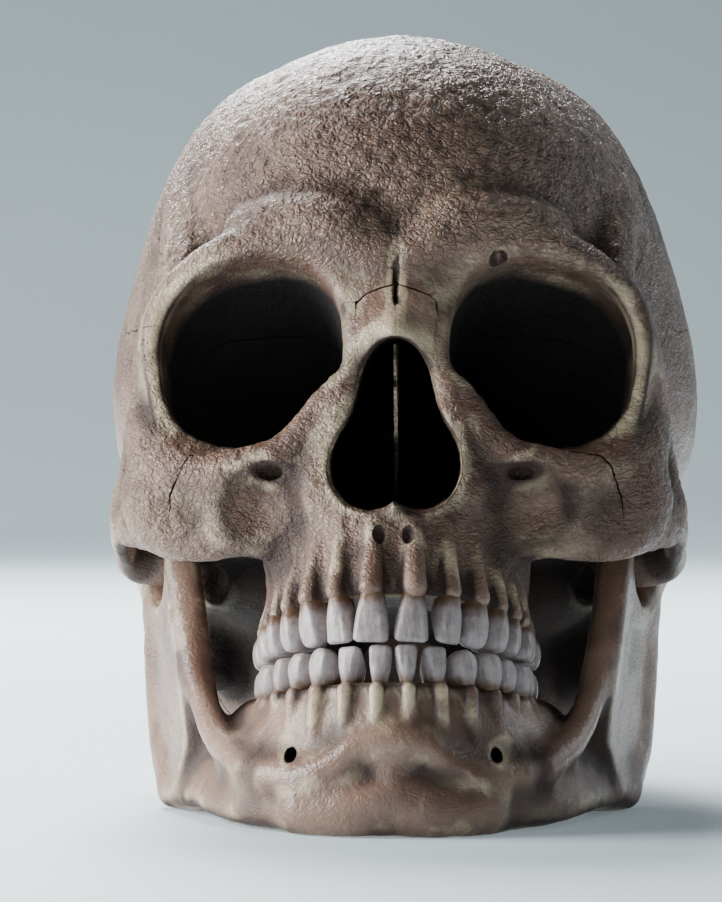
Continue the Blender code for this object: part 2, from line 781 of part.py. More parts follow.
# Outlines of the bones in the skull's upright frame, for the right side: corners, the axis they are drawn out along,
# and where the block starts and ends. Each is taken off in turn, so a later block may run over an earlier one.
MIDDLE = 0.15
FRONTAL = ([(-30, -2.6), (14, -2.6), (22, -3.5), (30, -3), (37, 6), (77, 97), (77, 120), (-30, 120)], 0, -90, 90)
PARIETAL = ([(34, 8), (58, 7), (68, 20), (84, 25), (98, 17), (108, 0), (118, -13), (166, 62), (180, 90),
             (180, 130), (60, 130)], 0, MIDDLE, 90)
TEMPORAL = ([(40, -30), (53, -22), (56, -6), (58, 12), (69, 30), (84, 34), (100, 24), (112, 8), (124, -8),
             (113, -34), (108, -80), (75, -80), (62, -44), (50, -46), (50, -31)], 0, 22, 90)
OCCIPITAL = ([(84, -90), (84, -30), (108, -14), (118, -4), (150, 60), (180, 110), (230, 90), (230, -90)], 0, -90, 90)
CHEEKBONE = ([(31, -20), (31, -29.5), (32.4, -32.3), (37, -32.8), (44, -33), (46, -36), (48, -41.4), (49, -50),
              (50.5, -70), (90, -70), (90, -3.8), (36, -3.8)], 1, -20, 27)
ARCH_FRONT = ([(52, -70), (90, -70), (90, -3.8), (52, -3.8)], 1, 20, 50)
NASAL = ([(MIDDLE, 0.8), (4, 0.3), (6.6, -1), (8.4, -3), (8.6, -9), (7, -26), (MIDDLE, -26)], 1, -30, 9)
MAXILLA = ([(-40, -90), (46, -90), (46, -30), (27, -26), (27, 10), (-40, 10)], 0, MIDDLE, 60)


def mirrored(outline):
    """The same block on the left side."""
    corners, axis, start, finish = outline
    if axis == 0:
        return corners, axis, -finish, -start
    return [(-u, v) for u, v in corners], axis, start, finish


def main():
    clear_scene()
    make_ellipsoid_group()
    make_rod_group()
    body = solid_of("cranium_body", cranium, (-76, -20, -84), (76, 190, 104), CELL, 6300)
    jaw = solid_of("mandible", lower_jaw, (-66, -46, -4), (66, 74, 70), CELL, 1500)
    wall = solid_of("vomer", nose_wall, (-3, 0, -56), (3, 56, 6), 0.0008, 160)
    upper = tooth_row("upper_teeth", UPPER_WIDTHS, UPPER_ARCH, upper_gum, upper_tip, 0.05, 3)
    boolean(body, upper, "UNION")
    drop_collection(upper)
    lower = tooth_row("lower_teeth", LOWER_WIDTHS, LOWER_ARCH, lower_gum, lower_tip, 0.02, 8)
    boolean(jaw, lower, "UNION")
    drop_collection(lower)
    keep_largest(body)
    keep_largest(jaw)
    keep_largest(wall)
    bones = [wall]
    sides = (("right", lambda block: block), ("left", mirrored))
    for side, turn in sides:
        bones.append(peel(body, f"nasal_{side}", turn(NASAL)))
    bones.append(peel(body, "frontal", FRONTAL))
    for side, turn in sides:
        bones.append(peel(body, f"parietal_{side}", turn(PARIETAL)))
        bones.append(peel(body, f"temporal_{side}", turn(TEMPORAL)))
    bones.append(peel(body, "occipital", OCCIPITAL))
    for side, turn in sides:
        bones.append(peel(body, f"zygomatic_{side}", turn(CHEEKBONE), turn(ARCH_FRONT)))
        bones.append(peel(body, f"maxilla_{side}", turn(MAXILLA)))
    keep_largest(body)
    body.name = "sphenoid"
    bones.append(body)
    for bone in bones:
        tip_back(bone)
    bones.append(jaw)
    for bone in bones:
        colour, roughness = FINISHES[bone.name.split("_")[0]]
        paint(bone, colour, roughness)
    centre_on_table(bones)


main()
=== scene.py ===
"""Looks for the life-size human skull: every bone again at a fine resolution, the teeth, finish and studio.

The bones come from the same rounded masses as their solids, in the skull's own upright frame: the root of the
nose is the origin, x points to the viewer's right, y to the back of the head and z up. Tables of places are
in millimetres. The sutures are thin gaps that wander along the solids' cuts.
"""

import math
import random
from concurrent.futures import ThreadPoolExecutor
from functools import reduce
from itertools import product

import bpy
import numpy as np
from mathutils import Euler, Matrix, Vector


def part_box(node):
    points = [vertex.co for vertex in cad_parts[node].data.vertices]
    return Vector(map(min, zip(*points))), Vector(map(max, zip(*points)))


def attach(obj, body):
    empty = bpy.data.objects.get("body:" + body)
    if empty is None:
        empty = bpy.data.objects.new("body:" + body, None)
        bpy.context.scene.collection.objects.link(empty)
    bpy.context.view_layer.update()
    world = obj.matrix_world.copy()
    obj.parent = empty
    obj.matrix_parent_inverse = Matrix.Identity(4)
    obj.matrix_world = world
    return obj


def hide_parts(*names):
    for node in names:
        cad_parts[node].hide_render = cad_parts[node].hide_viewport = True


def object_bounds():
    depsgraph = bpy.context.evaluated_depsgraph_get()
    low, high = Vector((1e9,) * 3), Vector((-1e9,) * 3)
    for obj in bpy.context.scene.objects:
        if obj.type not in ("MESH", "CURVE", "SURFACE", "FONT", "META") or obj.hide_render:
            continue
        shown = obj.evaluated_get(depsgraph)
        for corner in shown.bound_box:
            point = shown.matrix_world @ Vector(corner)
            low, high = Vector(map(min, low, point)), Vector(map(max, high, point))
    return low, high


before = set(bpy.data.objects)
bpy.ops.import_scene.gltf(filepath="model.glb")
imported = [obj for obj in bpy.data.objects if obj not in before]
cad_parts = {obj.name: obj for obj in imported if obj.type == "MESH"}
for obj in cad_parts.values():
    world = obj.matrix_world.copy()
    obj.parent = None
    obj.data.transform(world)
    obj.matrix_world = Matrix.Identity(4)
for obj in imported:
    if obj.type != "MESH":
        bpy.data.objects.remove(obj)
cad_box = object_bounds()

MM = 0.001
TILT = math.radians(22.0)
COS, SIN = math.cos(TILT), math.sin(TILT)
NASION_HEIGHT = 0.1134
NASION_BEHIND_JAW = 0.0379
NASION_Y = cad_box[0][1] + NASION_BEHIND_JAW
SUTURE_GAP = 0.3
# The grain of each bone's mesh in millimetres: finest in the face.
CELLS = {"frontal": 0.7, "parietal": 0.78, "occipital": 0.86, "sphenoid": 0.9, "temporal": 0.62, "nasal": 0.5,
         "zygomatic": 0.5, "maxilla": 0.5, "mandible": 0.58}
VOMER_CELL = 0.4
COARSER = 1
THREADS = 4
# Beyond this distance a mass counts as out of reach.
FAR = 0.03

UPPER_WIDTHS = (8.3, 6.9, 7.6, 7.0, 6.8, 10.2, 9.6)
LOWER_WIDTHS = (5.6, 6.1, 6.9, 7.0, 7.2, 11.0, 10.4)
UPPER_ARCH = (25.8, 39.5, 38.5)
LOWER_ARCH = (25.5, 37.5, 8.5)
OCCLUSAL_FRONT = -79.4
OCCLUSAL_SLOPE = 0.1775


# Points and distance fields.

class Points:
    """Many places at once in metres. X is folded onto the right half; true_x is not."""

    def __init__(self, x, y, z):
        self.true_x = x
        self.x = np.abs(x)
        self.y = y
        self.z = z
        self.low = [float(a.min()) for a in (self.x, y, z)]
        self.high = [float(a.max()) for a in (self.x, y, z)]

    def misses(self, low, high, room=0.026):
        """True where none of the points is near a box in millimetres."""
        return any(b * MM + room < c or a * MM - room > d
                   for a, b, c, d in zip(low, high, self.low, self.high))


def length(*values):
    return np.sqrt(sum(v * v for v in values))


def clamp(v):
    return np.clip(v, 0.0, 1.0)


def fade(v, start, finish):
    """0 at start and 1 at finish, both in millimetres, with a straight run between."""
    return clamp((v - start * MM) / ((finish - start) * MM))


def melt(a, b, width):
    """Join two bodies with a fillet."""
    h = np.maximum(width * MM - np.abs(a - b), 0.0) / (width * MM)
    return np.minimum(a, b) - h * h * h * (width * MM / 6)


def common(a, b, width):
    """Keep what two bodies share, with a rounded edge."""
    h = np.maximum(width * MM - np.abs(a - b), 0.0) / (width * MM)
    return np.maximum(a, b) + h * h * h * (width * MM / 6)


def gather(body, *others):
    """Join bodies one after another; each comes with the width of its fillet."""
    for other, width in others:
        body = melt(body, other, width)
    return body


def carve(body, *others):
    """Take shapes away one after another; each comes with the width of its rounded edge."""
    for other, width in others:
        body = common(body, -other, width)
    return body


def ellipsoid(p, centre, radii):
    if p.misses([c - r for c, r in zip(centre, radii)], [c + r for c, r in zip(centre, radii)]):
        return FAR
    scaled = [(v - c * MM) / (r * MM) for v, c, r in zip((p.x, p.y, p.z), centre, radii)]
    near = length(*scaled)
    slope = length(*[v / (r * MM) for v, r in zip(scaled, radii)])
    return near * (near - 1.0) / (slope + 0.000001)


def rod(p, start, finish, first, last, flat=(1, 1, 1)):
    """A bar with round ends, from one place and radius to another; flat widens it along an axis."""
    wide = max(first, last) * max(flat)
    low = [min(a, b) - wide for a, b in zip(start, finish)]
    high = [max(a, b) + wide for a, b in zip(start, finish)]
    if p.misses(low, high):
        return FAR
    run = [(b - a) * MM / f for a, b, f in zip(start, finish, flat)]
    offset = [v / f - a * MM / f for v, a, f in zip((p.x, p.y, p.z), start, flat)]
    along = clamp(sum(o * r for o, r in zip(offset, run)) / sum(r * r for r in run))
    return length(*[o - along * r for o, r in zip(offset, run)]) - (first + (last - first) * along) * MM


def spline(points, steps):
    """Places and radii along a smooth curve through (x, y, z, radius) points."""
    first = [2 * a - b for a, b in zip(points[0], points[1])]
    last = [2 * a - b for a, b in zip(points[-1], points[-2])]
    rows = [first, *points, last]
    found = []
    for before, start, finish, after in zip(rows, rows[1:], rows[2:], rows[3:]):
        for i in range(steps):
            t = i / steps
            found.append([0.5 * (2 * b + (c - a) * t + (2 * a - 5 * b + 4 * c - d) * t * t
                                 + (3 * b - a - 3 * c + d) * t ** 3)
                          for a, b, c, d in zip(before, start, finish, after)])
    return found + [list(points[-1])]


def strand(p, points, flat=(1, 1, 1), steps=4):
    """A smooth bar of changing thickness through (x, y, z, radius) points."""
    rows = spline(points, steps)
    return reduce(np.minimum, (rod(p, a[:3], b[:3], a[3], b[3], flat) for a, b in zip(rows, rows[1:])), FAR)


# The cranium's masses, right half; the left half mirrors it.

def braincase(p):
    vault = ellipsoid(p, (0, 98, 26), (61.5, 84.5, 69))
    forehead = ellipsoid(p, (0, 51, 30), (51, 51.5, 48))
    side = ellipsoid(p, (31, 102, 14), (36.7, 48, 46))
    back = ellipsoid(p, (0, 139, 6), (48, 42.5, 44))
    nape = ellipsoid(p, (0, 130, -22), (40, 38, 33))
    below = ellipsoid(p, (18, 122, -39), (31, 32, 32))
    crown = ellipsoid(p, (25.5, 85, 34.5), (33.5, 57, 49.5))
    temple = ellipsoid(p, (35, 56, -12), (21.5, 27, 26))
    return gather(vault, (forehead, 18), (side, 18), (crown, 12), (back, 18), (melt(below, nape, 14), 18),
                  (temple, 16))


def temporal_line(p):
    return strand(p, [(50, 21, -3, 4), (47.5, 24, 9, 4.5), (46.2, 30, 22, 6), (44.0, 41, 35, 9),
                      (40, 56, 46, 12)])


def brow(p):
    arch = strand(p, [(3, 5.5, 10, 8), (13, 4.2, 15.5, 8), (24, 6.8, 19, 6.5), (33, 12.5, 19.5, 4.8)])
    rim = strand(p, [(11, 7, 2, 5), (17, 6.5, 10.5, 5), (28, 7.5, 13.5, 5.5), (39, 12, 11, 5.6),
                     (46.5, 17, 5.5, 5.2), (50.5, 20.5, -2, 4.6), (51.5, 22, -8, 4)])
    return melt(arch, rim, 5)


def base(p):
    keel = ellipsoid(p, (0, 72, -30), (17, 30, 18))
    petrous = ellipsoid(p, (23, 87, -33), (25, 17, 15))
    condyle = ellipsoid(p, (13, 98, -54), (6, 10, 5))
    wing = strand(p, [(14, 48, -34, 4), (15, 49, -48, 2.8), (17, 50, -61, 2.0)], (1, 3, 1), 2)
    return gather(keel, (petrous, 10), (condyle, 5), (wing, 6))


def lower_rim(p):
    return strand(p, [(51, 21.5, -7, 4), (53.5, 24, -16, 4.3), (52, 22, -27, 6), (43, 15.5, -35.5, 5),
                      (33, 10, -37, 4.5), (23, 7, -34.5, 4.5), (15.5, 5.5, -24, 4), (11, 6, -8, 4.5)])


def cheek(p):
    body = ellipsoid(p, (46, 23.5, -38), (13.5, 9, 12.5))
    flare = strand(p, [(51.5, 22.5, -8, 3.4), (54, 27, -17, 3.6), (56.5, 32, -26, 4), (58.5, 39, -34, 4)])
    edge = strand(p, [(30, 16, -46, 5), (40, 21, -49, 4.4), (50.5, 27, -45, 4.4), (57.5, 36, -40.5, 4)])
    front = ellipsoid(p, (27, 17, -42), (15, 10, 12))
    return gather(body, (edge, 8), (flare, 8), (front, 8))


def cheek_arch(p):
    return strand(p, [(56, 33, -37, 4), (60, 43, -37, 3.2), (60.8, 55, -36.5, 2.9), (59.5, 68, -34, 3.2),
                      (57.5, 82, -28, 4)], (1, 1, 1.7))


def ear_bone(p):
    tubercle = ellipsoid(p, (53, 68.5, -36), (10.5, 6, 6.5))
    root = strand(p, [(57, 76, -29, 4.5), (59.5, 92, -23, 4.5), (59, 106, -18, 5)])
    mastoid = strand(p, [(49.5, 103, -25, 12), (46, 102, -43, 9), (44.5, 100, -52, 5)])
    return gather(tubercle, (root, 7), (mastoid, 10))


def nose_bridge(p):
    ridge = strand(p, [(0, 6, 4, 6), (0, 3.4, -4, 5), (0, -1.4, -11.5, 4.4)])
    flank = strand(p, [(7, 7, -2, 5), (8.5, 4.6, -14, 4.4), (12.5, 5, -30, 4.6), (15, 8, -42, 6)])
    between = strand(p, [(3.5, 5, -2, 4.6), (4.5, 1.8, -11, 4.4)])
    return gather(ridge, (flank, 9), (between, 6))


def ring(x, y, wide, deep):
    """Distance in plan to an ellipse, all in metres."""
    near = length(x / wide, y / deep)
    slope = length(x / (wide * wide), y / (deep * deep))
    return near * (near - 1.0) / (slope + 0.000001)


def tooth_places(widths, arch):
    """Centre (x, y) and outward direction of each tooth of the right side, in order from the middle."""
    wide, deep, back = arch
    places = []
    reach = 0.0
    angle = 0.0
    travelled = 0.0
    for width in widths:
        while travelled < reach + width / 2:
            angle += 0.0005
            travelled += 0.0005 * math.hypot(wide * math.cos(angle), deep * math.sin(angle))
        reach += width
        x = wide * math.sin(angle)
        y = back - deep * math.cos(angle)
        out = Vector((x / wide ** 2, (y - back) / deep ** 2, 0)).normalized()
        places.append((x, y, out))
    return places


def upper_gum(y):
    return -69.1 + 0.075 * y


def lower_gum(y):
    return 32.0 - 6.6 * min(max((y + 30) / 35, 0), 1)


def upper_tip(y):
    return OCCLUSAL_FRONT + OCCLUSAL_SLOPE * y + 0.35


def lower_tip(y):
    """The upper teeth's biting plane, seen in the table's frame, less a hair."""
    pitch = math.atan(OCCLUSAL_SLOPE) - TILT
    front = OCCLUSAL_FRONT * COS + NASION_HEIGHT / MM
    return front + (y - OCCLUSAL_FRONT * SIN) * math.tan(pitch) - 0.35


UPPER_PLACES = tooth_places(UPPER_WIDTHS, UPPER_ARCH)
LOWER_PLACES = tooth_places(LOWER_WIDTHS, LOWER_ARCH)


def root_ridges(p, widths, places, gum, up, out_shift, spread):
    """Swellings that the roots raise on the outside of a jaw; large teeth have two."""
    found = FAR
    for (x, y, out), width in zip(places, widths):
        double = width > 9
        for side in (-0.23, 0.23) if double else (0,):
            radius = 2.3 if double else 0.34 * width
            start = Vector((x, y, gum(y) + up * 1.4)) + out * out_shift + out.cross((0, 0, 1)) * side * width
            finish = start + Vector((0, 0, up * (11 if double else 15))) + out * spread
            found = np.minimum(found, rod(p, start, finish, radius, radius * 0.7))
    return found


def upper_jaw(p):
    body = ellipsoid(p, (0, 30, -38), (30, 26, 32))
    outline = ring(p.x, p.y - 40 * MM, 28.3 * MM, 41.5 * MM)
    floor = upper_gum(0) * MM + p.y * 0.075 - p.z
    arch = common(common(outline, floor, 3), common(p.z + 44 * MM, p.y - 45 * MM, 6), 6)
    palate = common(ring(p.x, p.y - 42 * MM, 17.5 * MM, 30 * MM), p.z + 56 * MM, 8)
    spine = rod(p, (0, 4, -50.5), (0, -2, -49), 3, 1.5)
    ridges = root_ridges(p, UPPER_WIDTHS, UPPER_PLACES, upper_gum, 1, 2.0, -2.6)
    return carve(gather(body, (arch, 8), (ridges, 2.2), (spine, 4)), (palate, 5))


def eye_socket(p):
    """A rounded, drooping opening that narrows to a point behind its slanting rim."""
    rim = 4 * MM + 0.38 * np.maximum(p.x - 12 * MM, 0)
    depth = clamp((p.y - rim) / (54 * MM - rim))
    size = 1.0 - 0.05 * depth - 0.8 * depth * depth
    across = p.x - (11.6 + 19.4 * size) * MM
    up = p.z + (10.2 - 1.0 * depth) * MM
    tilt = math.radians(-5)
    u = np.abs(across * math.cos(tilt) + up * math.sin(tilt)) / (19.4 * MM)
    v = np.abs(up * math.cos(tilt) - across * math.sin(tilt)) / (19.5 * MM)
    rounded = (u ** 2.5 + v ** 2.5) ** (1 / 2.5)
    corner = (across * 0.64 + up * 0.77) / (-17.4 * MM)
    return np.maximum((common(rounded, corner, 120) - size) * (17 * MM), p.y - 54 * MM)


def nose_passage(p):
    """The pear-shaped opening of the nose, and the passage behind it."""
    lift = p.z * COS - p.y * SIN
    upper = length(p.x / (8.2 * MM), (lift + 25.5 * MM) / (15 * MM)) * (8.2 * MM) - 8.2 * MM
    lower = length((p.x - 6 * MM) / (7.5 * MM), (lift + 37 * MM) / (8.9 * MM)) * (7.5 * MM) - 7.5 * MM
    return np.maximum(np.maximum(melt(upper, lower, 9), p.y - 52 * MM), -52 * MM - p.z)


def above_table(p):
    """Height over the table that the tipped skull rests on."""
    return p.z * COS - p.y * SIN + NASION_HEIGHT


def jaw_joint(p):
    """The hollow that the lower jaw's knuckle sits in, with room for its neck below."""
    hollow = rod(p, (43, 80, -36), (62, 79, -36), 5.6, 5.6)
    return melt(hollow, rod(p, (51, 80, -38), (51, 77, -66), 6, 7.5), 3)


def cranium(p):
    socket = eye_socket(p)
    socket_wall = common(socket - 4 * MM, 14 * MM - p.y, 4)
    face = gather(lower_rim(p), (cheek(p), 8), (nose_bridge(p), 6), (upper_jaw(p), 8), (socket_wall, 5))
    d = gather(braincase(p), (temporal_line(p), 6), (brow(p), 7), (base(p), 12), (face, 7), (ear_bone(p), 9),
               (cheek_arch(p), 5))
    under_cheek = ellipsoid(p, (30, 6, -49), (7, 7, 8))
    great_hole = ellipsoid(p, (0, 106, -57), (15, 18, 15))
    ear = rod(p, (52, 92, -30), (70, 92, -30), 4, 4)
    d = carve(d, (under_cheek, 8), (socket, 3), (nose_passage(p), 2), (great_hole, 5), (ear, 2),
              (jaw_joint(p), 3))
    return np.maximum(d, -above_table(p))


def nose_wall(p):
    """The thin, slightly bent plate that parts the nose passage, with a ragged edge."""
    bend = 0.7 * MM * noise(0 * p.y, p.y, p.z, 9, 21)
    half = 0.42 * MM + 0.12 * MM * noise(p.true_x, p.y, p.z, 1.6, 22)
    edge = 8.5 * MM + 1.2 * MM * noise(0 * p.y, p.y, p.z, 2.2, 23) + 0.22 * np.maximum(-p.z - 20 * MM, 0)
    d = np.maximum(np.abs(p.true_x - bend) - half, nose_passage(p) + SUTURE_GAP * MM)
    return np.maximum(d, np.maximum(edge - p.y, p.z + 3 * MM))


def fine_holes(p):
    """Small openings and furrows: over one eye, beside the nose's spine and at the nose's root."""
    over_eye = np.maximum(ellipsoid(p, (22, 3.5, 8.2), (1.8, 3.5, 2.2)), -p.true_x)
    crack = ellipsoid(p, (0, -0.7, 0.6), (0.3, 1.9, 6.4))
    spine_side = ellipsoid(p, (2.9, -2.6, -56), (1.2, 1.6, 2.1))
    return np.minimum(over_eye, np.minimum(crack, spine_side))


def fine_cranium(p):
    under_eye = rod(p, (27, 2, -40), (26.4, 8.2, -38.6), 1.2, 0.9, (2.3, 1, 1))
    return carve(cranium(p), (under_eye, 2.6), (fine_holes(p), 0.6))


def fine_jaw(p):
    """The lower jaw with the small opening in front of each side."""
    return carve(lower_jaw(p), (rod(p, (21.8, -30, 17), (20.4, -16, 15.2), 1.0, 1.0, (1, 1, 1.4)), 0.8))


# The lower jaw's masses, in the frame of the table: y from the root of the nose, z from the table.

def outline_side(y, z, corners, width):
    """Distance to an upright plate whose side view has these corners, given anticlockwise."""
    found = None
    for (ay, az), (by, bz) in zip(corners, corners[1:] + corners[:1]):
        run = math.hypot(by - ay, bz - az)
        edge = (y - ay * MM) * ((bz - az) / run) + (z - az * MM) * ((ay - by) / run)
        found = edge if found is None else common(found, edge, width)
    return found


def jaw_body(p):
    rise = fade(p.z, 0, 28)
    lean = rise ** 1.2
    foot = clamp(1 - p.z / (9 * MM))
    wide = (46.6 - 20.3 * lean - 1.6 * foot * foot) * MM
    deep = (76.0 - 34.5 * lean) * MM
    plan = ring(p.x, p.y - (46.5 - 33.0 * lean) * MM, wide, deep)
    top = (32.2 - 6.6 * fade(p.y, -30, 5)) * MM
    notch = clamp(1.0 - np.abs(p.y - 8 * MM) / (22 * MM)) * (1.6 * MM)
    d = common(np.abs(plan) - (6.2 - 1.9 * rise) * MM, p.z - top, 5)
    d = common(d, notch - p.z, 8)
    return common(d, p.y - (36.0 - 15.0 * rise) * MM, 6)


def jaw_ramus(p):
    corners = [(9, 17), (24, 4), (36, 2.2), (45, 8), (53, 26), (61, 46), (57, 52), (33, 61), (27, 60),
               (18, 40)]
    plate = outline_side(p.y, p.z, corners, 6)
    plate = common(plate, 11.5 * MM - length(p.y - 45.5 * MM, p.z - 56.5 * MM), 3)
    middle = 49.8 * MM + (p.y - 38 * MM) * 0.25 + (p.z - 20 * MM) * 0.02
    return common(plate, np.abs(p.x - middle) - 2.9 * MM, 4)


def jaw_bars(p):
    knuckle = melt(rod(p, (47, 61.5, 51), (56.5, 60.5, 51.5), 3.8, 3.8),
                   rod(p, (51.5, 57, 42), (51.5, 60.5, 49), 3.8, 4), 5)
    border = strand(p, [(48.5, 36, 6, 4.5), (51, 46, 14, 4.2), (52.2, 52, 28, 3.9), (52, 57, 42, 3.6)])
    crest = strand(p, [(46.8, 30, 60, 2), (45.2, 22.5, 44, 2.5), (42.8, 13.5, 30, 2.8), (38.5, 0, 19, 3.2),
                       (31.5, -16, 13, 2.8)])
    return melt(melt(border, knuckle, 5), crest, 7)


def jaw_chin(p):
    boss = strand(p, [(0, -31, 17, 3.5), (0, -32.5, 9, 4.6), (8, -32, 6, 4.8), (18, -28, 5.5, 4.2)])
    brace = strand(p, [(0, -33.6, 19.5, 2.5), (7, -33.2, 18.5, 2.5), (12, -32, 15, 2.6),
                       (18, -28.8, 12.3, 2.7), (26, -22, 12, 2.6)])
    return melt(boss, brace, 7)


def lower_jaw(p):
    ridges = root_ridges(p, LOWER_WIDTHS, LOWER_PLACES, lower_gum, -1, 3.0, 1.0)
    d = gather(jaw_body(p), (jaw_ramus(p), 9), (jaw_bars(p), 8), (jaw_chin(p), 9), (ridges, 1.4))
    return np.maximum(d, -p.z)


# Noise on a lattice, for the wandering of the sutures and the low relief of the bone.

def lattice(ix, iy, iz, seed):
    """A steady random number from -1 to 1 for each whole-number place."""
    h = ix * 374761393 + iy * 668265263 + iz * 2147483647 + seed * 1274126177
    h = (h ^ (h >> 13)) * 1274126177
    h = h ^ (h >> 16)
    return (h & 0xFFFF).astype(np.float32) / 32767.5 - 1.0


def noise(x, y, z, size, seed):
    """Smooth noise from -1 to 1, with features of about the given size in millimetres."""
    cells = [v / (size * MM) for v in (x, y, z)]
    whole = [np.floor(v).astype(np.int64) for v in cells]
    part = [v - w for v, w in zip(cells, whole)]
    smooth = [t * t * (3 - 2 * t) for t in part]
    total = 0.0
    for corner in product((0, 1), repeat=3):
        weight = math.prod(s if far else 1 - s for s, far in zip(smooth, corner))
        total = total + weight * lattice(*[w + far for w, far in zip(whole, corner)], seed)
    return total


# Where each bone ends: outlines in the upright frame, for the right side, with the axis they are drawn out
# along and where they start and end. Each is taken off in turn, so a later one may run over an earlier one.

MIDDLE = 0.02
SAGITTAL = 0.15
FRONTAL = ([(-30, -2.6), (14, -2.6), (22, -3.5), (30, -3), (37, 6), (77, 97), (77, 120), (-30, 120)],
           0, -90, 90)
PARIETAL = ([(34, 8), (58, 7), (68, 20), (84, 25), (98, 17), (108, 0), (118, -13), (166, 62), (180, 90),
             (180, 130), (60, 130)], 0, SAGITTAL, 90)
TEMPORAL = ([(40, -30), (53, -22), (56, -6), (58, 12), (69, 30), (84, 34), (100, 24), (112, 8), (124, -8),
             (113, -34), (108, -80), (75, -80), (62, -44), (50, -46), (50, -31)], 0, 22, 90)
OCCIPITAL = ([(84, -90), (84, -30), (108, -14), (118, -4), (150, 60), (180, 110), (230, 90), (230, -90)],
             0, -90, 90)
CHEEKBONE = ([(31, -20), (31, -29.5), (32.4, -32.3), (37, -32.8), (44, -33), (46, -36), (48, -41.4),
              (49, -50), (50.5, -70), (90, -70), (90, -2), (36, -2)], 1, -20, 27)
# The cheekbone's tail, which runs back along the arch.
ARCH_FRONT = ([(52, -70), (90, -70), (90, -2), (52, -2)], 1, 20, 50)
ZYGOMATIC = [CHEEKBONE, ARCH_FRONT]
NASAL = ([(MIDDLE, 0.8), (4, 0.3), (6.6, -1), (8.4, -3), (8.6, -9), (7, -26), (MIDDLE, -26)], 1, -30, 9)
MAXILLA = ([(-40, -90), (46, -90), (46, -30), (27, -26), (27, 10), (-40, 10)], 0, MIDDLE, 60)


def polygon(u, v, corners):
    """Distance to a closed outline in a plane, negative inside it."""
    best = None
    inside = None
    for (au, av), (bu, bv) in zip(corners, corners[1:] + corners[:1]):
        run_u, run_v = (bu - au) * MM, (bv - av) * MM
        from_u, from_v = u - au * MM, v - av * MM
        along = clamp((from_u * run_u + from_v * run_v) / (run_u ** 2 + run_v ** 2))
        gap = (from_u - along * run_u) ** 2 + (from_v - along * run_v) ** 2
        best = gap if best is None else np.minimum(best, gap)
        if av != bv:
            crosses = ((av * MM > v) != (bv * MM > v)) & (u < au * MM + run_u * from_v / run_v)
            inside = crosses if inside is None else inside ^ crosses
    return np.where(inside, -1.0, 1.0) * np.sqrt(best)


def block(p, outline, side):
    """Distance to the block that bounds a bone; its outline wanders as a suture does."""
    corners, axis, start, finish = outline
    x = p.true_x * side
    across, up = p.wander
    if axis == 0:
        flat = polygon(p.y + across, p.z + up, corners)
        along = x + across * side
    else:
        flat = polygon(x + across * 0.5 * side, p.z + up * 0.5, corners)
        along = p.y
    return np.maximum(flat, np.maximum(start * MM - along, along - finish * MM))


# The order in which the bones are taken off: name, blocks, side, and the gap round it in millimetres on the
# vault and in the face.
ORDER = [("nasal_right", [NASAL], 1, 0.05, 0.4), ("nasal_left", [NASAL], -1, 0.05, 0.4),
         ("frontal", [FRONTAL], 1, SUTURE_GAP, 0.1),
         ("parietal_right", [PARIETAL], 1, SUTURE_GAP, 0), ("temporal_right", [TEMPORAL], 1, SUTURE_GAP, 0),
         ("parietal_left", [PARIETAL], -1, SUTURE_GAP, 0), ("temporal_left", [TEMPORAL], -1, SUTURE_GAP, 0),
         ("occipital", [OCCIPITAL], 1, SUTURE_GAP, 0),
         ("zygomatic_right", ZYGOMATIC, 1, 0.06, 0.4), ("maxilla_right", [MAXILLA], 1, 0.05, 0.05),
         ("zygomatic_left", ZYGOMATIC, -1, 0.06, 0.4), ("maxilla_left", [MAXILLA], -1, 0.05, 0.05),
         ("sphenoid", [], 1, 0, 0)]


def region(p, blocks, side):
    return reduce(np.minimum, [block(p, outline, side) for outline in blocks])


def add_wander(p):
    """How far the sutures stray from the solids' straight cuts: little in the face, more over the vault."""
    vault = clamp((p.z - 4 * MM + 0.4 * (p.y - 70 * MM)) / (30 * MM))
    face = 1 - fade(p.y, 10, 30) * 0.4
    broad, fine = (1.0 + 1.1 * vault) * MM, (0.45 * face + 0.8 * vault) * MM
    middle = clamp(p.x / (3 * MM) + vault)
    place = (p.true_x, p.y, p.z)
    p.wander = [middle * (broad * noise(*place, 5.5, seed) + fine * noise(*place, 2.0, seed + 1))
                for seed in (5, 7)]


def bone_limit(name):
    """The field that bounds a bone of the cranium: its own blocks less every bone taken off before it."""
    place = [row[0] for row in ORDER].index(name)

    def limit(p):
        add_wander(p)
        own = region(p, ORDER[place][1], ORDER[place][2]) if ORDER[place][1] else -FAR
        face = fade(p.y, 34, 26) * fade(p.z, 12, 6)
        for other, blocks, side, vault_gap, face_gap in ORDER[:place]:
            here = face
            if other.startswith("nasal"):
                here = fade(p.z, -6, -3)
            if other.startswith("zygomatic"):
                here = face * fade(p.z, -22, -26) * fade(p.z, -46, -41)
            gap = (vault_gap + (face_gap - vault_gap) * here) * MM
            own = np.maximum(own, gap - region(p, blocks, side))
        return own
    return limit


# Meshing: sample a field in blocks near its surface, then join the cells that the surface crosses.

BLOCK = 8
HALF_DIAGONAL = 0.866
OVERSHOOT = 1.5
SAMPLE_ROOM = 0.0008
SHARED_EDGE = 0.6
SWELLING = 0.32


def in_pieces(field, x, y, z, size=40000):
    """A field's values at many places, worked out piece by piece on several threads."""
    found = np.empty(len(x), np.float32)

    def work(start):
        part = slice(start, start + size)
        found[part] = field(Points(x[part], y[part], z[part]))

    with ThreadPoolExecutor(THREADS) as pool:
        list(pool.map(work, range(0, len(x), size)))
    return found


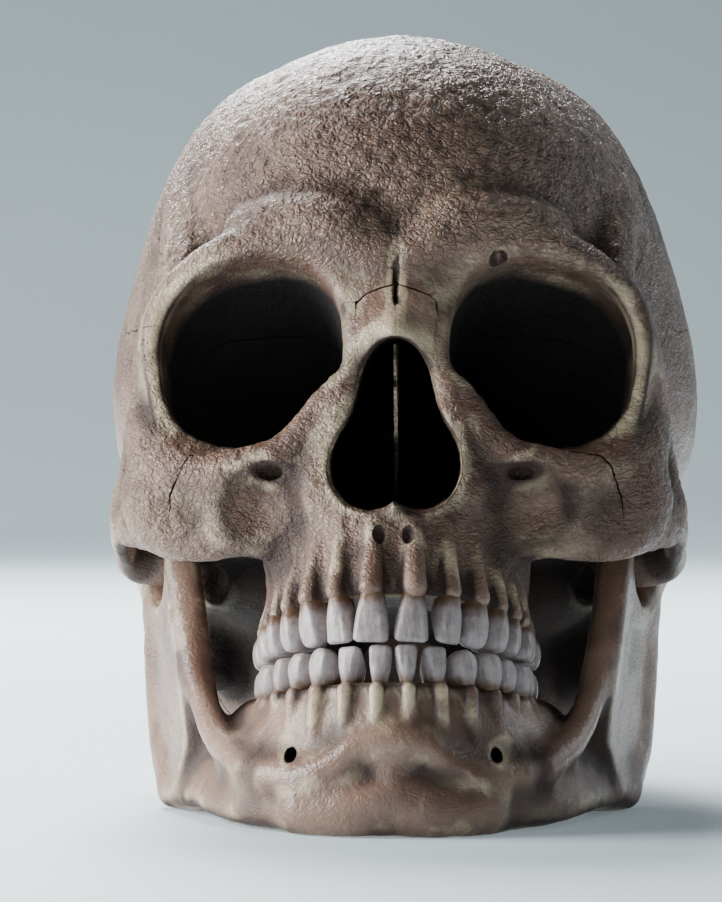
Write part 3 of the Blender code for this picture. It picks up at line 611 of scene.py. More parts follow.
def sample(field, low, high, cell):
    """Values on a grid, true only near the surface; elsewhere they keep the sign of their block."""
    counts = [int(math.ceil((b - a) / cell / BLOCK)) for a, b in zip(low, high)]
    middles = [a + (np.arange(n) + 0.5) * BLOCK * cell - 0.5 * cell for a, n in zip(low, counts)]
    grid = np.meshgrid(*middles, indexing="ij")
    coarse = in_pieces(field, *[g.ravel().astype(np.float32) for g in grid])
    reach = BLOCK * cell * HALF_DIAGONAL * OVERSHOOT + SAMPLE_ROOM
    near = np.flatnonzero(np.abs(coarse) < reach)
    values = np.repeat(np.repeat(np.repeat(coarse.reshape(counts), BLOCK, 0), BLOCK, 1), BLOCK, 2)
    spots = np.stack(np.unravel_index(near, counts), 1)
    step = np.stack(np.meshgrid(*[np.arange(BLOCK)] * 3, indexing="ij"), -1).reshape(-1, 3)
    where = (spots[:, None, :] * BLOCK + step[None]).reshape(-1, 3)
    places = [np.float32(a) + where[:, i].astype(np.float32) * np.float32(cell) for i, a in enumerate(low)]
    values[where[:, 0], where[:, 1], where[:, 2]] = in_pieces(field, *places)
    return values


def net(values, low, cell):
    """Vertices and four-sided faces of the surface where the values change sign."""
    inside = values < 0
    n = np.array(values.shape)
    corners = list(product((0, 1), repeat=3))
    total = sum(inside[a:n[0] - 1 + a, b:n[1] - 1 + b, c:n[2] - 1 + c].astype(np.int8) for a, b, c in corners)
    cells = np.argwhere((total > 0) & (total < 8))
    index = -np.ones(n - 1, np.int64)
    index[tuple(cells.T)] = np.arange(len(cells))
    sums = np.zeros((len(cells), 3))
    count = np.zeros(len(cells))
    for one in corners:
        for axis in range(3):
            if one[axis]:
                continue
            other = tuple(v + (i == axis) for i, v in enumerate(one))
            first = values[tuple((cells + one).T)]
            second = values[tuple((cells + other).T)]
            crossing = (first < 0) != (second < 0)
            share = np.where(crossing, first / np.where(crossing, first - second, 1), 0)
            spot = np.array(one) + share[:, None] * (np.array(other) - np.array(one))
            sums += np.where(crossing[:, None], spot, 0)
            count += crossing
    vertices = np.array(low) + (cells + sums / count[:, None]) * cell
    faces = []
    for axis in range(3):
        du, dv = np.delete(np.eye(3, dtype=int), axis, 0)
        here = [slice(1, size - 1) for size in n]
        there = list(here)
        here[axis], there[axis] = slice(0, n[axis] - 1), slice(1, n[axis])
        before = inside[tuple(here)]
        spots = np.argwhere(before != inside[tuple(there)])
        outward = before[tuple(spots.T)] != (axis == 1)
        spots = spots + du + dv
        loop = np.stack([index[tuple((spots - back).T)] for back in (du + dv, dv, 0 * du, du)], 1)
        loop[~outward] = loop[~outward][:, ::-1]
        faces.append(loop)
    return vertices.astype(np.float32), np.concatenate(faces)


def slope_of(field, places, step=0.0002):
    """A field's value and direction of growth at many places."""
    value = in_pieces(field, *places.T)
    shifts = np.eye(3, dtype=np.float32) * step
    way = np.stack([(in_pieces(field, *(places + shift).T) - value) / step for shift in shifts], 1)
    size = np.linalg.norm(way, axis=1, keepdims=True)
    return value, way / np.maximum(size, 0.2)


def settle(vertices, shape, limit, cell):
    """Move vertices onto the true surface, and onto the sharp edge where a suture cuts it."""
    skin = in_pieces(shape, *vertices.T)
    cut = in_pieces(limit, *vertices.T) if limit else np.full(len(vertices), -FAR, np.float32)
    on_skin = skin > cut - SHARED_EDGE * cell
    on_cut = cut > skin - SHARED_EDGE * cell
    for _ in range(3 if limit else 2):
        for field, chosen in ((shape, on_skin), (limit, on_cut)):
            if field and chosen.any():
                value, way = slope_of(field, vertices[chosen])
                vertices[chosen] -= np.clip(value, -cell, cell)[:, None] * way
    return vertices, on_skin


def relief(x, y, z):
    """Low relief of old bone, from -1 to 1: broad swellings and smaller lumps."""
    return 0.55 * noise(x, y, z, 11, 1) + 0.45 * noise(x, y, z, 4.2, 2)


def wrinkles(x, y, z):
    """The leathery grain of the forehead, from -1 in its winding grooves to 1 on its bumps."""
    bend_x, bend_y = 0.8 * MM * noise(x, y, z, 3.1, 11), 0.8 * MM * noise(x, y, z, 3.1, 12)
    coarse = noise(x + bend_x, y + bend_y, z - bend_x, 1.9, 3)
    fine = noise(x + bend_y, y, z + bend_x, 1.1, 4)
    winding = 1 - 4 * np.abs(noise(x, y + bend_y, z + bend_x, 2.3, 9))
    return np.clip(0.9 * coarse + 0.5 * fine - 0.55 * np.maximum(winding, 0), -1, 1)


def bone_mesh(shape, limit, low, high, cell, grain_depth):
    """A bone in its own frame: settled, with relief, and with numbers on its points for the finish to read.

    grain_depth is a function of the points: how deep the leathery grain is there, in millimetres.
    """
    field = shape if limit is None else (lambda p: np.maximum(shape(p), limit(p)))
    low = [a - 2.5 * cell for a in low]
    high = [b + 2.5 * cell for b in high]
    vertices, faces = net(sample(field, low, high, cell), low, cell)
    vertices, on_skin = settle(vertices, shape, limit, cell)
    value, way = slope_of(shape, vertices)
    marks = {}
    # hollow and deep measure how far a point is sunk in the bone's shape, over a short and a long reach; the
    # finish paints shade from them. raised measures how far it stands out.
    for label, reach in (("hollow", 2.2), ("deep", 7.0), ("raised", -2.6)):
        moved = vertices + way * reach * MM
        marks[label] = clamp(1.0 - in_pieces(shape, *moved.T) / (reach * MM))
    marks["relief"] = relief(*vertices.T)
    marks["grain"] = wrinkles(*vertices.T)
    swell = SWELLING * (marks["relief"] - 0.7) + grain_depth(vertices) * (marks["grain"] - 0.6)
    vertices = vertices + way * (swell * MM * on_skin)[:, None]
    return keep_whole(vertices, faces, marks)


def keep_whole(vertices, faces, marks):
    """Keep the largest connected part of a mesh."""
    label = np.arange(len(vertices))
    while True:
        least = label[faces].min(1)
        before = label.copy()
        for column in range(4):
            np.minimum.at(label, faces[:, column], least)
        label = label[label]
        if (label == before).all():
            break
    main = np.bincount(label).argmax()
    kept = label == main
    new = np.cumsum(kept) - 1
    return vertices[kept], new[faces[kept[faces[:, 0]]]], {key: value[kept] for key, value in marks.items()}


# Materials.

def rgba(colour):
    """A colour given as 0 to 255 screen values, made linear."""
    return (*[((v / 255 + 0.055) / 1.055) ** 2.4 if v > 10 else v / 255 / 12.92 for v in colour], 1.0)


def arithmetic(operation, flipped=False):
    """A method that joins two numbers by a maths node."""
    def work(self, other):
        return self.nodes.calculate(operation, *((other, self) if flipped else (self, other)))
    return work


class Value:
    """One output of a node, with the usual arithmetic."""

    def __init__(self, nodes, socket):
        self.nodes = nodes
        self.socket = socket

    __add__, __radd__ = arithmetic("ADD"), arithmetic("ADD", True)
    __sub__, __rsub__ = arithmetic("SUBTRACT"), arithmetic("SUBTRACT", True)
    __mul__, __rmul__ = arithmetic("MULTIPLY"), arithmetic("MULTIPLY", True)


class Nodes:
    """Builds the nodes of one tree."""

    def __init__(self, tree):
        self.tree = tree

    def node(self, kind, inputs=(), output=0, **settings):
        """Any node: its type, its sockets' values or links, the output to use and its settings."""
        made = self.tree.nodes.new(kind)
        for key, value in settings.items():
            setattr(made, key, value)
        self.feed(made, inputs)
        return Value(self, made.outputs[output])

    def feed(self, node, inputs):
        for key, value in dict(inputs).items():
            if isinstance(value, Value):
                self.tree.links.new(value.socket, node.inputs[key])
            else:
                node.inputs[key].default_value = value

    def calculate(self, operation, *values):
        return self.node("ShaderNodeMath", dict(enumerate(values)), operation=operation)


class Paint(Nodes):
    """Builds one material."""

    def __init__(self, name):
        self.material = bpy.data.materials.new(name)
        self.material.use_nodes = True
        super().__init__(self.material.node_tree)

    def clamp(self, value):
        return self.node("ShaderNodeClamp", {"Value": value}, "Result")

    def ease(self, value, start, finish):
        """0 below start, 1 above finish, smooth between."""
        return self.node("ShaderNodeMapRange", {"Value": value, "From Min": start, "From Max": finish},
                         "Result", interpolation_type="SMOOTHSTEP")

    def mark(self, name):
        return self.node("ShaderNodeAttribute", (), "Fac", attribute_name=name)

    def place(self):
        return self.node("ShaderNodeTexCoord", (), "Object")

    def axis(self, index):
        return self.node("ShaderNodeSeparateXYZ", {0: self.place()}, index)

    def warped(self, size, reach, factors=(1.0, 1.0, 1.0)):
        """The place, pushed about by noise of a size, up to a reach, both in millimetres."""
        push = self.node("ShaderNodeTexNoise", {"Vector": self.place(), "Scale": 1.0 / (size * MM)}, "Color")
        moved = self.node("ShaderNodeVectorMath", {0: push, 1: (2 * reach * MM,) * 3, 2: self.place()},
                          "Vector", operation="MULTIPLY_ADD")
        return self.node("ShaderNodeVectorMath", {0: moved, 1: factors}, "Vector", operation="MULTIPLY")

    def noise(self, size, detail=2.0, rough=0.5, distortion=0.0, vector=None):
        """Noise with features of about that size in millimetres."""
        return self.node("ShaderNodeTexNoise",
                         {"Vector": vector or self.place(), "Scale": 1.0 / (size * MM), "Detail": detail,
                          "Roughness": rough, "Distortion": distortion}, "Fac")

    def cells(self, size, vector, feature="F1"):
        return self.node("ShaderNodeTexVoronoi", {"Vector": vector, "Scale": 1.0 / (size * MM)}, "Distance",
                         feature=feature)

    def cracks(self, size, width, vector):
        """1 on the borders of cells of about that size, 0 away from them."""
        return 1 - self.ease(self.cells(size, vector, "DISTANCE_TO_EDGE"), 0.0, width)

    def mix(self, factor, first, second):
        return self.node("ShaderNodeMix", {0: factor, 6: first, 7: second}, 2, data_type="RGBA")

    def bump(self, height, depth, strength):
        """Fine relief: a height from 0 to 1 over a depth in millimetres."""
        return self.node("ShaderNodeBump", {"Height": height, "Distance": depth * MM, "Strength": strength},
                         "Normal")

    def finish(self, **inputs):
        shader = self.tree.nodes["Principled BSDF"]
        self.feed(shader, {key.replace("_", " "): value for key, value in inputs.items()})
        return self.material


CREAM = rgba((208, 189, 158))
TAN = rgba((160, 131, 113))
BROWN = rgba((108, 81, 68))
DARK = rgba((48, 33, 28))
BLACK = rgba((18, 12, 9))
ENAMEL = rgba((168, 156, 156))
STAIN = rgba((104, 78, 58))


def bone_paint(name, cream, brown, wrinkle, pores):
    """Aged bone. Cream is how much of the raised part is pale, brown how dark the rest is, wrinkle and pores
    how strongly each fine texture shows."""
    paint = Paint(name)
    hollow, deep, raised, low, grain, inside, leather = [
        paint.mark(key) for key in ("hollow", "deep", "raised", "relief", "grain", "inside", "leather")]
    broad = paint.noise(26, 3)
    patch = paint.noise(7, 4, 0.65, 0.6)
    crease = paint.ease(grain, 0.1, -0.9)
    fine = paint.noise(0.8, 3, 0.6)
    groove = paint.cracks(2.3, 0.2, paint.warped(2.4, 1.3, (1.0, 1.0, 1.35)))
    small = paint.cracks(1.2, 0.22, paint.warped(1.5, 0.7, (0.8, 0.8, 1.3)))
    network = paint.clamp(groove * 0.75 + small * 0.5) * leather
    pit = 1 - paint.ease(paint.cells(1.1, paint.warped(1.2, 0.6)), 0.10, 0.36)
    pits = pit * paint.ease(paint.noise(6, 3), 0.46, 0.62) * pores

    pale = paint.ease(raised * 1.7 + low * 0.3 + (patch - 0.5) * 2.2 + cream, 0.30, 0.95)
    grime = paint.ease(low, 0.1, -0.5) * 0.4
    # Darker in hollows and deep recesses: painted shade from the bone's own shape, with some grime on the low
    # relief and in patches.
    grime_and_painted_shade = paint.clamp(hollow * 2.6 + deep * 1.0 + grime + (patch - 0.5) * 0.7 - 0.24)
    colour = paint.mix(paint.ease(broad + brown, 0.35, 0.75), TAN, BROWN)
    lines = crease * wrinkle * 0.35 * leather + network * 0.5
    # inside paints the eye sockets, the nose passage and the space behind the cheeks near black: painted
    # shadow.
    for share, over in ((pale, CREAM), (grime_and_painted_shade, DARK), (lines, DARK), (pits * 0.6, DARK),
                        ((fine - 0.5) * 0.6 + 0.12, BROWN), (inside, BLACK)):
        colour = paint.mix(share, colour, over)

    height = fine * 0.25 - pits * 0.6 + paint.noise(1.4, 2) * 0.2 - network * 1.1
    rough = paint.clamp(0.31 + grime_and_painted_shade * 0.35 + inside * 0.4 + (fine - 0.5) * 0.3 + network * 0.2)
    return paint.finish(Base_Color=colour, Roughness=rough, Normal=paint.bump(height, 0.5, 0.8))


def tooth_paint(name):
    """Worn enamel: grey with a hint of lilac, streaked along the crown and stained brown at the neck."""
    paint = Paint(name)
    along = paint.node("ShaderNodeMapping", {"Vector": paint.place(), "Scale": (1.0, 1.0, 0.18)}, "Vector")
    streak = paint.noise(0.9, 3, 0.6, 0.0, along)
    patch = paint.noise(2.6, 3, 0.65)
    neck = paint.ease(paint.mark("crown") + (patch - 0.5) * 0.5, 0.34, 0.02)
    colour = paint.mix(paint.ease(patch, 0.35, 0.7), ENAMEL, rgba((143, 131, 130)))
    colour = paint.mix(paint.ease(streak, 0.5, 0.72) * 0.45, colour, rgba((196, 186, 182)))
    colour = paint.mix(neck, colour, STAIN)
    colour = paint.mix(paint.ease(streak, 0.42, 0.3) * 0.35, colour, STAIN)
    normal = paint.bump(streak * 0.6 + paint.noise(0.7, 2) * 0.5 + patch * 0.7, 0.22, 0.8)
    return paint.finish(Base_Color=colour, Roughness=0.36, Normal=normal)


# Pieces.

LOWEST = 0.00002
SHARP_ANGLE = math.radians(58)
BOX_ROOM = 0.003


def add_object(name, data):
    made = bpy.data.objects.new(name, data)
    bpy.context.scene.collection.objects.link(made)
    return made


def register(name, mesh, node):
    """Hand a finished mesh over as a piece that stands for a node of the solid model."""
    made = add_object(name, mesh)
    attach(made, "root")
    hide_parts(node)


def piece(name, vertices, faces, marks, material, node):
    """A finished piece from points and faces in the scene's own frame."""
    vertices = np.asarray(vertices, np.float32)
    vertices[:, 2] = np.maximum(vertices[:, 2], LOWEST)
    mesh = bpy.data.meshes.new(name)
    mesh.vertices.add(len(vertices))
    mesh.vertices.foreach_set("co", vertices.ravel())
    mesh.loops.add(faces.size)
    mesh.loops.foreach_set("vertex_index", faces.ravel())
    mesh.polygons.add(len(faces))
    mesh.polygons.foreach_set("loop_start", np.arange(0, faces.size, faces.shape[1]))
    mesh.update(calc_edges=True)
    mesh.validate()
    for key, value in marks.items():
        mesh.attributes.new(key, "FLOAT", "POINT").data.foreach_set("value", np.asarray(value, np.float32))
    mesh.shade_smooth()
    mesh.set_sharp_from_angle(angle=SHARP_ANGLE)
    mesh.materials.append(material)
    register(name, mesh, node)


def to_scene_from_upright(points):
    """From the skull's upright frame to the scene."""
    x, y, z = points.T
    return np.stack([x, y * COS + z * SIN + NASION_Y, z * COS - y * SIN + NASION_HEIGHT], 1)


def to_scene_from_table(points):
    return points + np.array([0, NASION_Y, 0], np.float32)


def upright_box(node):
    """A node's box in the skull's upright frame, with room to spare."""
    low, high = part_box(node)
    corners = []
    for x, y, z in product((low.x, high.x), (low.y, high.y), (low.z, high.z)):
        y, z = y - NASION_Y, z - NASION_HEIGHT
        corners.append((x, y * COS - z * SIN, y * SIN + z * COS))
    return np.min(corners, 0) - BOX_ROOM, np.max(corners, 0) + BOX_ROOM


def socket_shadow(points):
    """How deep a point of the cranium lies in an eye socket or in the nose, from 0 to 1."""
    p = Points(*points.T)
    rim = 6 * MM + 0.39 * np.maximum(p.x - 11 * MM, 0)
    in_eye = (eye_socket(p) < 1.6 * MM) * clamp((p.y - rim + 0.5 * MM) / (5 * MM))
    in_nose = (nose_passage(p) < 1.2 * MM) * fade(p.y, 7, 15)
    return np.maximum(in_eye, in_nose)


def under_shadow(points, edge):
    """Painted shadow in the space between the jaw and the cheeks, from 0 to 1, inside a distance from the
    middle.
    """
    x, y, z = points.T
    back = y - NASION_Y
    return 0.8 * fade(np.abs(x), edge, edge - 3) * (fade(back, 15, 27) * fade(back, 92, 70)) * fade(z, 66, 58)


def face_mask(y, z, foot):
    return fade(z, -12, -20) * fade(y, 45, 35) * fade(z, foot, foot + 8)


def leather(points):
    """How strongly the leathery grain shows on a bone of the cranium, from 0 to 1."""
    _, y, z = points.T
    return 0.22 + 0.78 * (fade(z, 4, 13) * fade(y, 120, 60)) + 0.36 * face_mask(y, z, -66)


def vault_grain(points):
    """Depth of the leathery grain in millimetres: full on the forehead and less elsewhere."""
    _, y, z = points.T
    return 0.07 + 0.2 * (fade(z, 8, 18) * fade(y, 95, 45)) + 0.14 * face_mask(y, z, -60)


# Each kind of bone: how pale, how brown, how wrinkled and how pitted it is.
FINISHES = {"frontal": (0.00, 0.05, 1.0, 0.15), "parietal": (-0.05, 0.12, 0.8, 0.2),
            "occipital": (-0.1, 0.14, 0.7, 0.3), "temporal": (0.0, 0.10, 0.5, 0.5),
            "sphenoid": (-0.2, 0.25, 0.3, 0.6), "zygomatic": (0.04, 0.10, 0.3, 1.0),
            "nasal": (0.1, 0.0, 0.3, 0.4), "maxilla": (0.02, 0.10, 0.2, 0.7), "vomer": (0.1, 0.1, 0.1, 0.4),
            "mandible": (0.0, 0.04, 0.25, 0.15)}


def make_bones():
    paints = {kind: bone_paint(f"bone_{kind}", *numbers) for kind, numbers in FINISHES.items()}

    def finish(name, found, placed, inside, grained):
        _, faces, marks = found
        marks.update(inside=inside, leather=grained)
        piece(f"{name}_bone", placed, faces, marks, paints[name.split("_")[0]], name)

    for name, *_ in ORDER:
        cell = CELLS[name.split("_")[0]] * COARSER * MM
        found = bone_mesh(fine_cranium, bone_limit(name), *upright_box(name), cell, vault_grain)
        placed = to_scene_from_upright(found[0])
        # inside is painted shadow: deep in the eye sockets and the nose, and between the jaw and the cheeks.
        inside = np.maximum(socket_shadow(found[0]), under_shadow(placed, 46))
        finish(name, found, placed, inside, leather(found[0]))
    found = bone_mesh(nose_wall, None, *upright_box("vomer"), VOMER_CELL * MM, lambda places: 0.0)
    points = found[0]
    # Painted shadow on the nose's wall, darker further back and lower down.
    inside = clamp((points[:, 1] - 11 * MM) / (5 * MM) + (-points[:, 2] - 24 * MM) / (8 * MM))
    finish("vomer", found, to_scene_from_upright(points), inside, leather(points))
    box = [corner - Vector((0, NASION_Y, 0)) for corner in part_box("mandible")]
    found = bone_mesh(fine_jaw, None, *box, CELLS["mandible"] * COARSER * MM, lambda places: 0.05)
    placed = to_scene_from_table(found[0])
    # Painted shadow on the jaw's inner face behind the cheeks.
    finish("mandible", found, placed, under_shadow(placed, 44.5), np.full(len(placed), 0.12))


# Teeth.

TOOTH_KINDS = ("front", "front", "eye", "cheek", "cheek", "grinder", "grinder")
CROWN_KINDS = ("front", "eye", "cheek", "grinder")
TOOTH_DEPTH = {"front": 6.6, "eye": 7.8, "cheek": 8.6, "grinder": 10.2}
CUSPS = {"front": 0.0, "eye": 0.0, "cheek": 0.06, "grinder": 0.09}
# Width and depth of a crown as shares of the whole, at heights from the root (below 0) to the bite (1).
HEIGHTS = (-0.5, -0.2, -0.03, 0.12, 0.3, 0.5, 0.7, 0.85, 0.94, 0.985, 1.0)
CROWN_WIDTH = {"front": (0.50, 0.56, 0.64, 0.72, 0.83, 0.92, 0.98, 1.00, 0.97, 0.90, 0.76),
               "eye": (0.52, 0.60, 0.68, 0.77, 0.90, 1.00, 0.99, 0.88, 0.70, 0.52, 0.34),
               "cheek": (0.54, 0.62, 0.72, 0.82, 0.94, 1.00, 0.99, 0.94, 0.84, 0.70, 0.50),
               "grinder": (0.60, 0.70, 0.80, 0.89, 0.97, 1.00, 1.00, 0.97, 0.91, 0.80, 0.62)}
CROWN_DEPTH = {"front": (0.62, 0.78, 0.90, 0.98, 1.00, 0.88, 0.66, 0.48, 0.38, 0.31, 0.20),
               "eye": (0.62, 0.78, 0.90, 0.98, 1.00, 0.92, 0.74, 0.56, 0.42, 0.32, 0.20),
               "cheek": (0.62, 0.76, 0.88, 0.96, 1.00, 1.00, 0.96, 0.88, 0.78, 0.64, 0.45),
               "grinder": (0.66, 0.78, 0.88, 0.96, 1.00, 1.00, 0.97, 0.90, 0.82, 0.72, 0.55)}
AROUND = 40
RINGS = 30
TOOTH_GAP = 0.75


def signed_power(value, power):
    return np.sign(value) * np.abs(value) ** power


def crown_surface(kind, taper):
    """Points of one crown with its root, ring by ring: 1 wide along x, 1 deep along y, from the gum line at
    height 0 to the biting edge at 1. Taper deepens how much it narrows."""
    level = np.linspace(HEIGHTS[0], HEIGHTS[-1], RINGS)[:, None]
    spread = 1 - taper * (1 - np.interp(level, HEIGHTS, CROWN_WIDTH[kind]))
    thick = np.interp(level, HEIGHTS, CROWN_DEPTH[kind])
    angle = 2 * math.pi * (np.arange(AROUND) + 0.5)[None] / AROUND
    u = 0.5 * signed_power(np.cos(angle), 0.68) * spread
    v = 0.5 * signed_power(np.sin(angle), 0.78) * thick
    if kind in ("front", "eye"):
        v = v + 0.21 * (1 - thick)
    v = v + 0.022 * np.cos(u * 6 * math.pi) * (v > 0) * clamp(1 - np.abs(level - 0.6) / 0.45)
    tip = clamp((level - 0.6) / 0.4)
    wave = np.cos(2 * u * math.pi * (1 if kind == "cheek" else 2))
    z = level - CUSPS[kind] * tip * (0.5 - np.abs(v) - 0.25 * wave)
    return np.stack([u, v, z + 0 * u], 2), np.broadcast_to(level, u.shape)


def make_crown(collection, kind, taper):
    points, level = crown_surface(kind, taper)
    points, level = list(points.reshape(-1, 3)), list(level.ravel())
    faces = [(r + i, r + (i + 1) % AROUND, r + AROUND + (i + 1) % AROUND, r + AROUND + i)
             for r in range(0, (RINGS - 1) * AROUND, AROUND) for i in range(AROUND)]
    for row, flip in ((0, -1), (RINGS - 1, 1)):
        loop = [row * AROUND + i for i in range(AROUND)]
        middle = len(points)
        points.append(np.mean([points[i] for i in loop], 0))
        level.append(level[loop[0]])
        faces += [(middle, *(i, j)[::flip]) for i, j in zip(loop, loop[1:] + loop[:1])]
    mesh = bpy.data.meshes.new(kind)
    mesh.from_pydata([tuple(map(float, place)) for place in points], [], faces)
    mesh.attributes.new("crown", "FLOAT", "POINT").data.foreach_set("value", np.array(level, np.float32))
    mesh.shade_smooth()
    collection.objects.link(bpy.data.objects.new(f"{collection.name}_{CROWN_KINDS.index(kind)}_{kind}", mesh))


def crown_collection(name, taper):
    """The four kinds of crown, kept out of the scene."""
    crowns = bpy.data.collections.new(name)
    for kind in CROWN_KINDS:
        make_crown(crowns, kind, taper)
    return crowns


def tooth_tree():
    """Stands a crown on every point, of the kind, turn and size that the point names, then slants the crowns
    so that their edges follow the bite. Gives the tree and the names of its inputs."""
    tree = bpy.data.node_groups.new("tooth_row", "GeometryNodeTree")
    tree.interface.new_socket("Geometry", in_out="OUTPUT", socket_type="NodeSocketGeometry")
    slots = {}
    for label, kind in (("Points", "Geometry"), ("Crowns", "Collection"), ("Slope", "Float"),
                        ("Material", "Material")):
        socket = tree.interface.new_socket(label, in_out="INPUT", socket_type=f"NodeSocket{kind}")
        slots[label] = socket.identifier
    nodes = Nodes(tree)
    start = tree.nodes.new("NodeGroupInput")
    take = {label: Value(nodes, start.outputs[label]) for label in slots}

    def named(name, kind="FLOAT"):
        return nodes.node("GeometryNodeInputNamedAttribute", {"Name": name}, "Attribute", data_type=kind)

    crowns = nodes.node("GeometryNodeCollectionInfo",
                        {"Collection": take["Crowns"], "Separate Children": True, "Reset Children": True},
                        transform_space="RELATIVE")
    turn = nodes.node("FunctionNodeEulerToRotation", {0: named("turn", "FLOAT_VECTOR")})
    stood = nodes.node("GeometryNodeInstanceOnPoints",
                       {"Points": take["Points"], "Instance": crowns, "Pick Instance": True,
                        "Instance Index": named("kind", "INT"), "Rotation": turn,
                        "Scale": named("size", "FLOAT_VECTOR")})
    whole = nodes.node("GeometryNodeRealizeInstances", {"Geometry": stood})
    level = nodes.calculate("MAXIMUM", named("crown"), 0.0)
    y = nodes.node("ShaderNodeSeparateXYZ", {0: nodes.node("GeometryNodeInputPosition")}, 1)
    shift = nodes.node("ShaderNodeCombineXYZ", {2: level * take["Slope"] * (y - named("middle"))})
    moved = nodes.node("GeometryNodeSetPosition", {"Geometry": whole, "Offset": shift})
    painted = nodes.node("GeometryNodeSetMaterial", {"Geometry": moved, "Material": take["Material"]})
    tree.links.new(painted.socket, tree.nodes.new("NodeGroupOutput").inputs[0])
    return tree, slots


def tooth_points(name, widths, places, gum, tip, lean, seed, side):
    """One point for each tooth of half a row, with the kind, turn and size of its crown."""
    chance = random.Random(seed)
    upper = tip(0) < gum(0)
    middles, rows = [], {"turn": [], "size": [], "kind": [], "middle": []}
    for i, (x, y, out) in enumerate(places):
        kind = TOOTH_KINDS[i]
        outward = Vector((out.x * side, out.y))
        spin = math.atan2(outward.y, outward.x) - math.pi / 2 + math.radians(chance.uniform(-7, 7))
        place = Vector((x * side, y)) + outward * chance.uniform(-0.45, 0.35)
        crown = tip(place.y) - gum(place.y)
        stand = Matrix.Rotation(math.pi, 3, "Y") if upper else Matrix.Identity(3)
        tilt = Matrix.Rotation(lean + math.radians(chance.uniform(-2.5, 2.5)), 3, "X")
        roll = Matrix.Rotation(math.radians(chance.uniform(-3, 3)), 3, "Y")
        rows["turn"] += list((Matrix.Rotation(spin, 3, "Z") @ tilt @ roll @ stand).to_euler())
        wide = widths[i] * chance.uniform(0.96, 1.0) - TOOTH_GAP
        rows["size"] += [wide * MM, TOOTH_DEPTH[kind] * MM, (abs(crown) + chance.uniform(-0.1, 0.25)) * MM]
        rows["kind"].append(CROWN_KINDS.index(kind))
        rows["middle"].append(place.y * MM)
        middles.append((place.x * MM, place.y * MM, gum(place.y) * MM))
    mesh = bpy.data.meshes.new(name)
    mesh.from_pydata(middles, [], [])
    for key, kind, field in (("turn", "FLOAT_VECTOR", "vector"), ("size", "FLOAT_VECTOR", "vector"),
                             ("kind", "INT", "value"), ("middle", "FLOAT", "value")):
        mesh.attributes.new(key, kind, "POINT").data.foreach_set(field, rows[key])
    return mesh


def half_row(name, mesh, tree, **inputs):
    """The plain mesh that the tree makes of half a row's points."""
    group, slots = tree
    item = add_object(name, mesh)
    step = item.modifiers.new("teeth", "NODES")
    step.node_group = group
    for label, value in inputs.items():
        step[slots[label]] = value
    made = bpy.data.meshes.new_from_object(item.evaluated_get(bpy.context.evaluated_depsgraph_get()))
    item.modifiers.clear()
    bpy.data.objects.remove(item, do_unlink=True)
    return made


def make_teeth():
    material = tooth_paint("tooth")
    tree = tooth_tree()
    pitch = math.atan(OCCLUSAL_SLOPE) - TILT
    rows = [("upper_teeth", UPPER_WIDTHS, UPPER_PLACES, upper_gum, upper_tip, -0.05, 3, OCCLUSAL_SLOPE, 1.0,
             to_scene_from_upright, ("maxilla_right", "maxilla_left")),
            ("lower_teeth", LOWER_WIDTHS, LOWER_PLACES, lower_gum, lower_tip, -0.02, 8, math.tan(pitch), 1.3,
             to_scene_from_table, ("mandible", "mandible"))]
    for name, widths, places, gum, tip, lean, seed, slope, taper, to_scene, nodes in rows:
        crowns = crown_collection(f"{name}_crowns", taper)
        for side, node in zip((1, -1), nodes):
            points = tooth_points(name, widths, places, gum, tip, lean, seed + side, side)
            mesh = half_row(name, points, tree, Crowns=crowns, Slope=slope, Material=material)
            spots = np.empty(len(mesh.vertices) * 3, np.float32)
            mesh.vertices.foreach_get("co", spots)
            mesh.vertices.foreach_set("co", to_scene(spots.reshape(-1, 3)).astype(np.float32).ravel())
            mesh.shade_smooth()
            mesh.update()
            register(f"{name}_{'right' if side > 0 else 'left'}", mesh, node)


# The studio.

CAMERA_DISTANCE = 1.0
CAMERA_HEIGHT = 0.0911
CAMERA_YAW = math.radians(1.2)
FOCAL_PIXELS = 4700.0
PICTURE = (722, 902)
NOSE_ROOT_COLUMN = 396
HORIZON_ROW = 395


def make_camera():
    data = bpy.data.cameras.new("camera")
    data.sensor_fit = "VERTICAL"
    data.sensor_height = 36.0
    data.lens = FOCAL_PIXELS / PICTURE[1] * data.sensor_height
    made = add_object("camera", data)
    made.location = (CAMERA_DISTANCE * math.sin(CAMERA_YAW),
                     NASION_Y - CAMERA_DISTANCE * math.cos(CAMERA_YAW), CAMERA_HEIGHT)
    pitch = -math.atan((PICTURE[1] / 2 - HORIZON_ROW) / FOCAL_PIXELS)
    turn = math.atan((NOSE_ROOT_COLUMN - PICTURE[0] / 2) / FOCAL_PIXELS)
    made.rotation_euler = Euler((math.pi / 2 + pitch, 0, CAMERA_YAW + turn))
    bpy.context.scene.camera = made


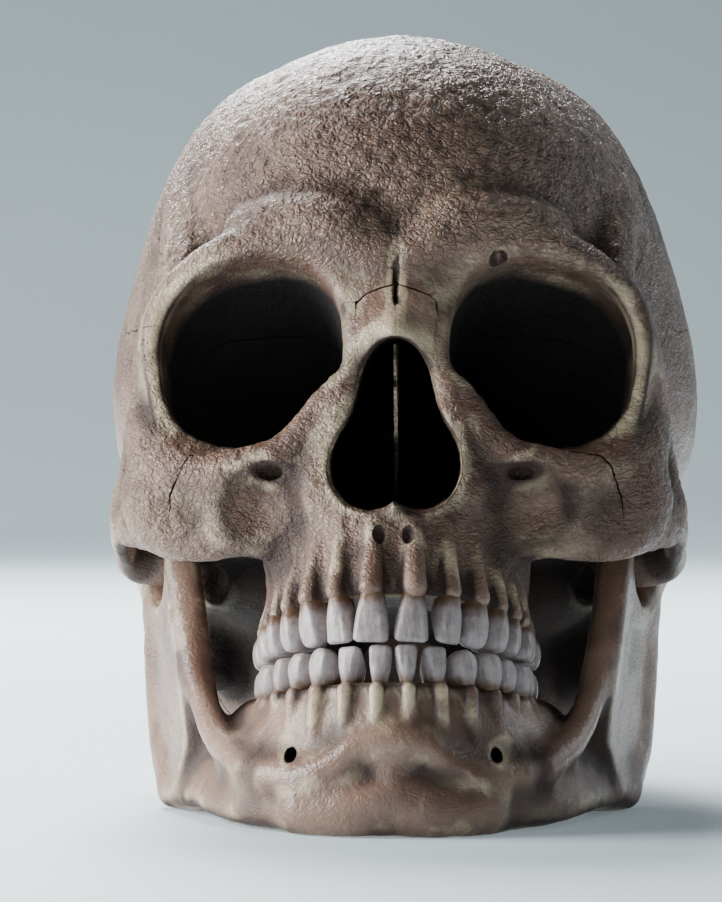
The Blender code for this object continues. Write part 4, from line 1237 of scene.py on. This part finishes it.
def make_stage():
    """A wide pale floor that curves up into a blue-grey backdrop, with painted shade that darkens it towards
    the top and a painted pool of light that glows on the floor at the front left.
    """
    depth, rise, radius = 1.6, 2.2, 0.8
    profile = [(-2.5, 0.0), (depth, 0.0)]
    profile += [(depth + radius * math.sin(a), radius - radius * math.cos(a))
                for a in np.linspace(0.1, math.pi / 2, 14)]
    profile.append((depth + radius, rise))
    points = [(x, y, z) for y, z in profile for x in (-4.0, 4.0)]
    faces = [(2 * i, 2 * i + 1, 2 * i + 3, 2 * i + 2) for i in range(len(profile) - 1)]
    mesh = bpy.data.meshes.new("studio_sweep")
    mesh.from_pydata(points, [], faces)
    mesh.shade_smooth()
    paint = Paint("studio_sweep")
    # The colour darkens with height: painted shade.
    height = paint.axis(2)
    colour = paint.mix(paint.ease(height, -0.06, 0.12), rgba((222, 236, 243)), rgba((192, 206, 211)))
    colour = paint.mix(paint.ease(height, 0.06, 0.42), colour, rgba((160, 173, 178)))
    # The floor glows by emission at the front left: a painted pool of light.
    beside = paint.ease(paint.axis(0), 0.12, -0.07)
    glow = beside * paint.ease(height, 0.1, 0.0) * paint.ease(paint.axis(1), 0.4, -0.2)
    lit = paint.mix(glow, BLACK, rgba((222, 242, 252)))
    mesh.materials.append(paint.finish(Base_Color=colour, Roughness=0.7, Emission_Color=lit,
                                       Emission_Strength=0.48))
    add_object("studio_sweep", mesh)


def light(name, place, aim, power, size, colour):
    data = bpy.data.lights.new(name, "AREA")
    data.energy = power
    data.shape = "RECTANGLE"
    data.size, data.size_y = size
    data.color = colour
    made = add_object(name, data)
    made.location = place
    made.rotation_euler = (Vector(aim) - Vector(place)).to_track_quat("-Z", "Y").to_euler()


def make_lights():
    light("overhead", (-0.22, 0.92, 0.92), (0, 0.03, 0.15), 44, (0.5, 0.8), (1.0, 1.0, 1.0))
    light("window", (-1.1, -0.16, 0.36), (0, 0, 0.08), 36, (0.7, 0.8), (1.0, 0.99, 0.98))
    light("front", (-0.2, -1.6, 0.3), (0, 0, 0.06), 1.7, (0.7, 0.5), (1.0, 0.96, 0.93))
    light("rim", (0.8, 0.4, 0.4), (0, 0, 0.1), 1.5, (0.3, 0.5), (0.84, 0.92, 1.0))
    light("backdrop", (-0.7, 1.1, 1.5), (-0.2, 2.3, 0.2), 22, (1.4, 0.6), (0.92, 0.98, 1.0))
    world = bpy.data.worlds.new("studio")
    world.use_nodes = True
    world.node_tree.nodes["Background"].inputs["Color"].default_value = rgba((188, 200, 206))
    world.node_tree.nodes["Background"].inputs["Strength"].default_value = 0.16
    bpy.context.scene.world = world


def main():
    make_camera()
    make_stage()
    make_lights()
    make_bones()
    make_teeth()
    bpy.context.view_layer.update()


main()
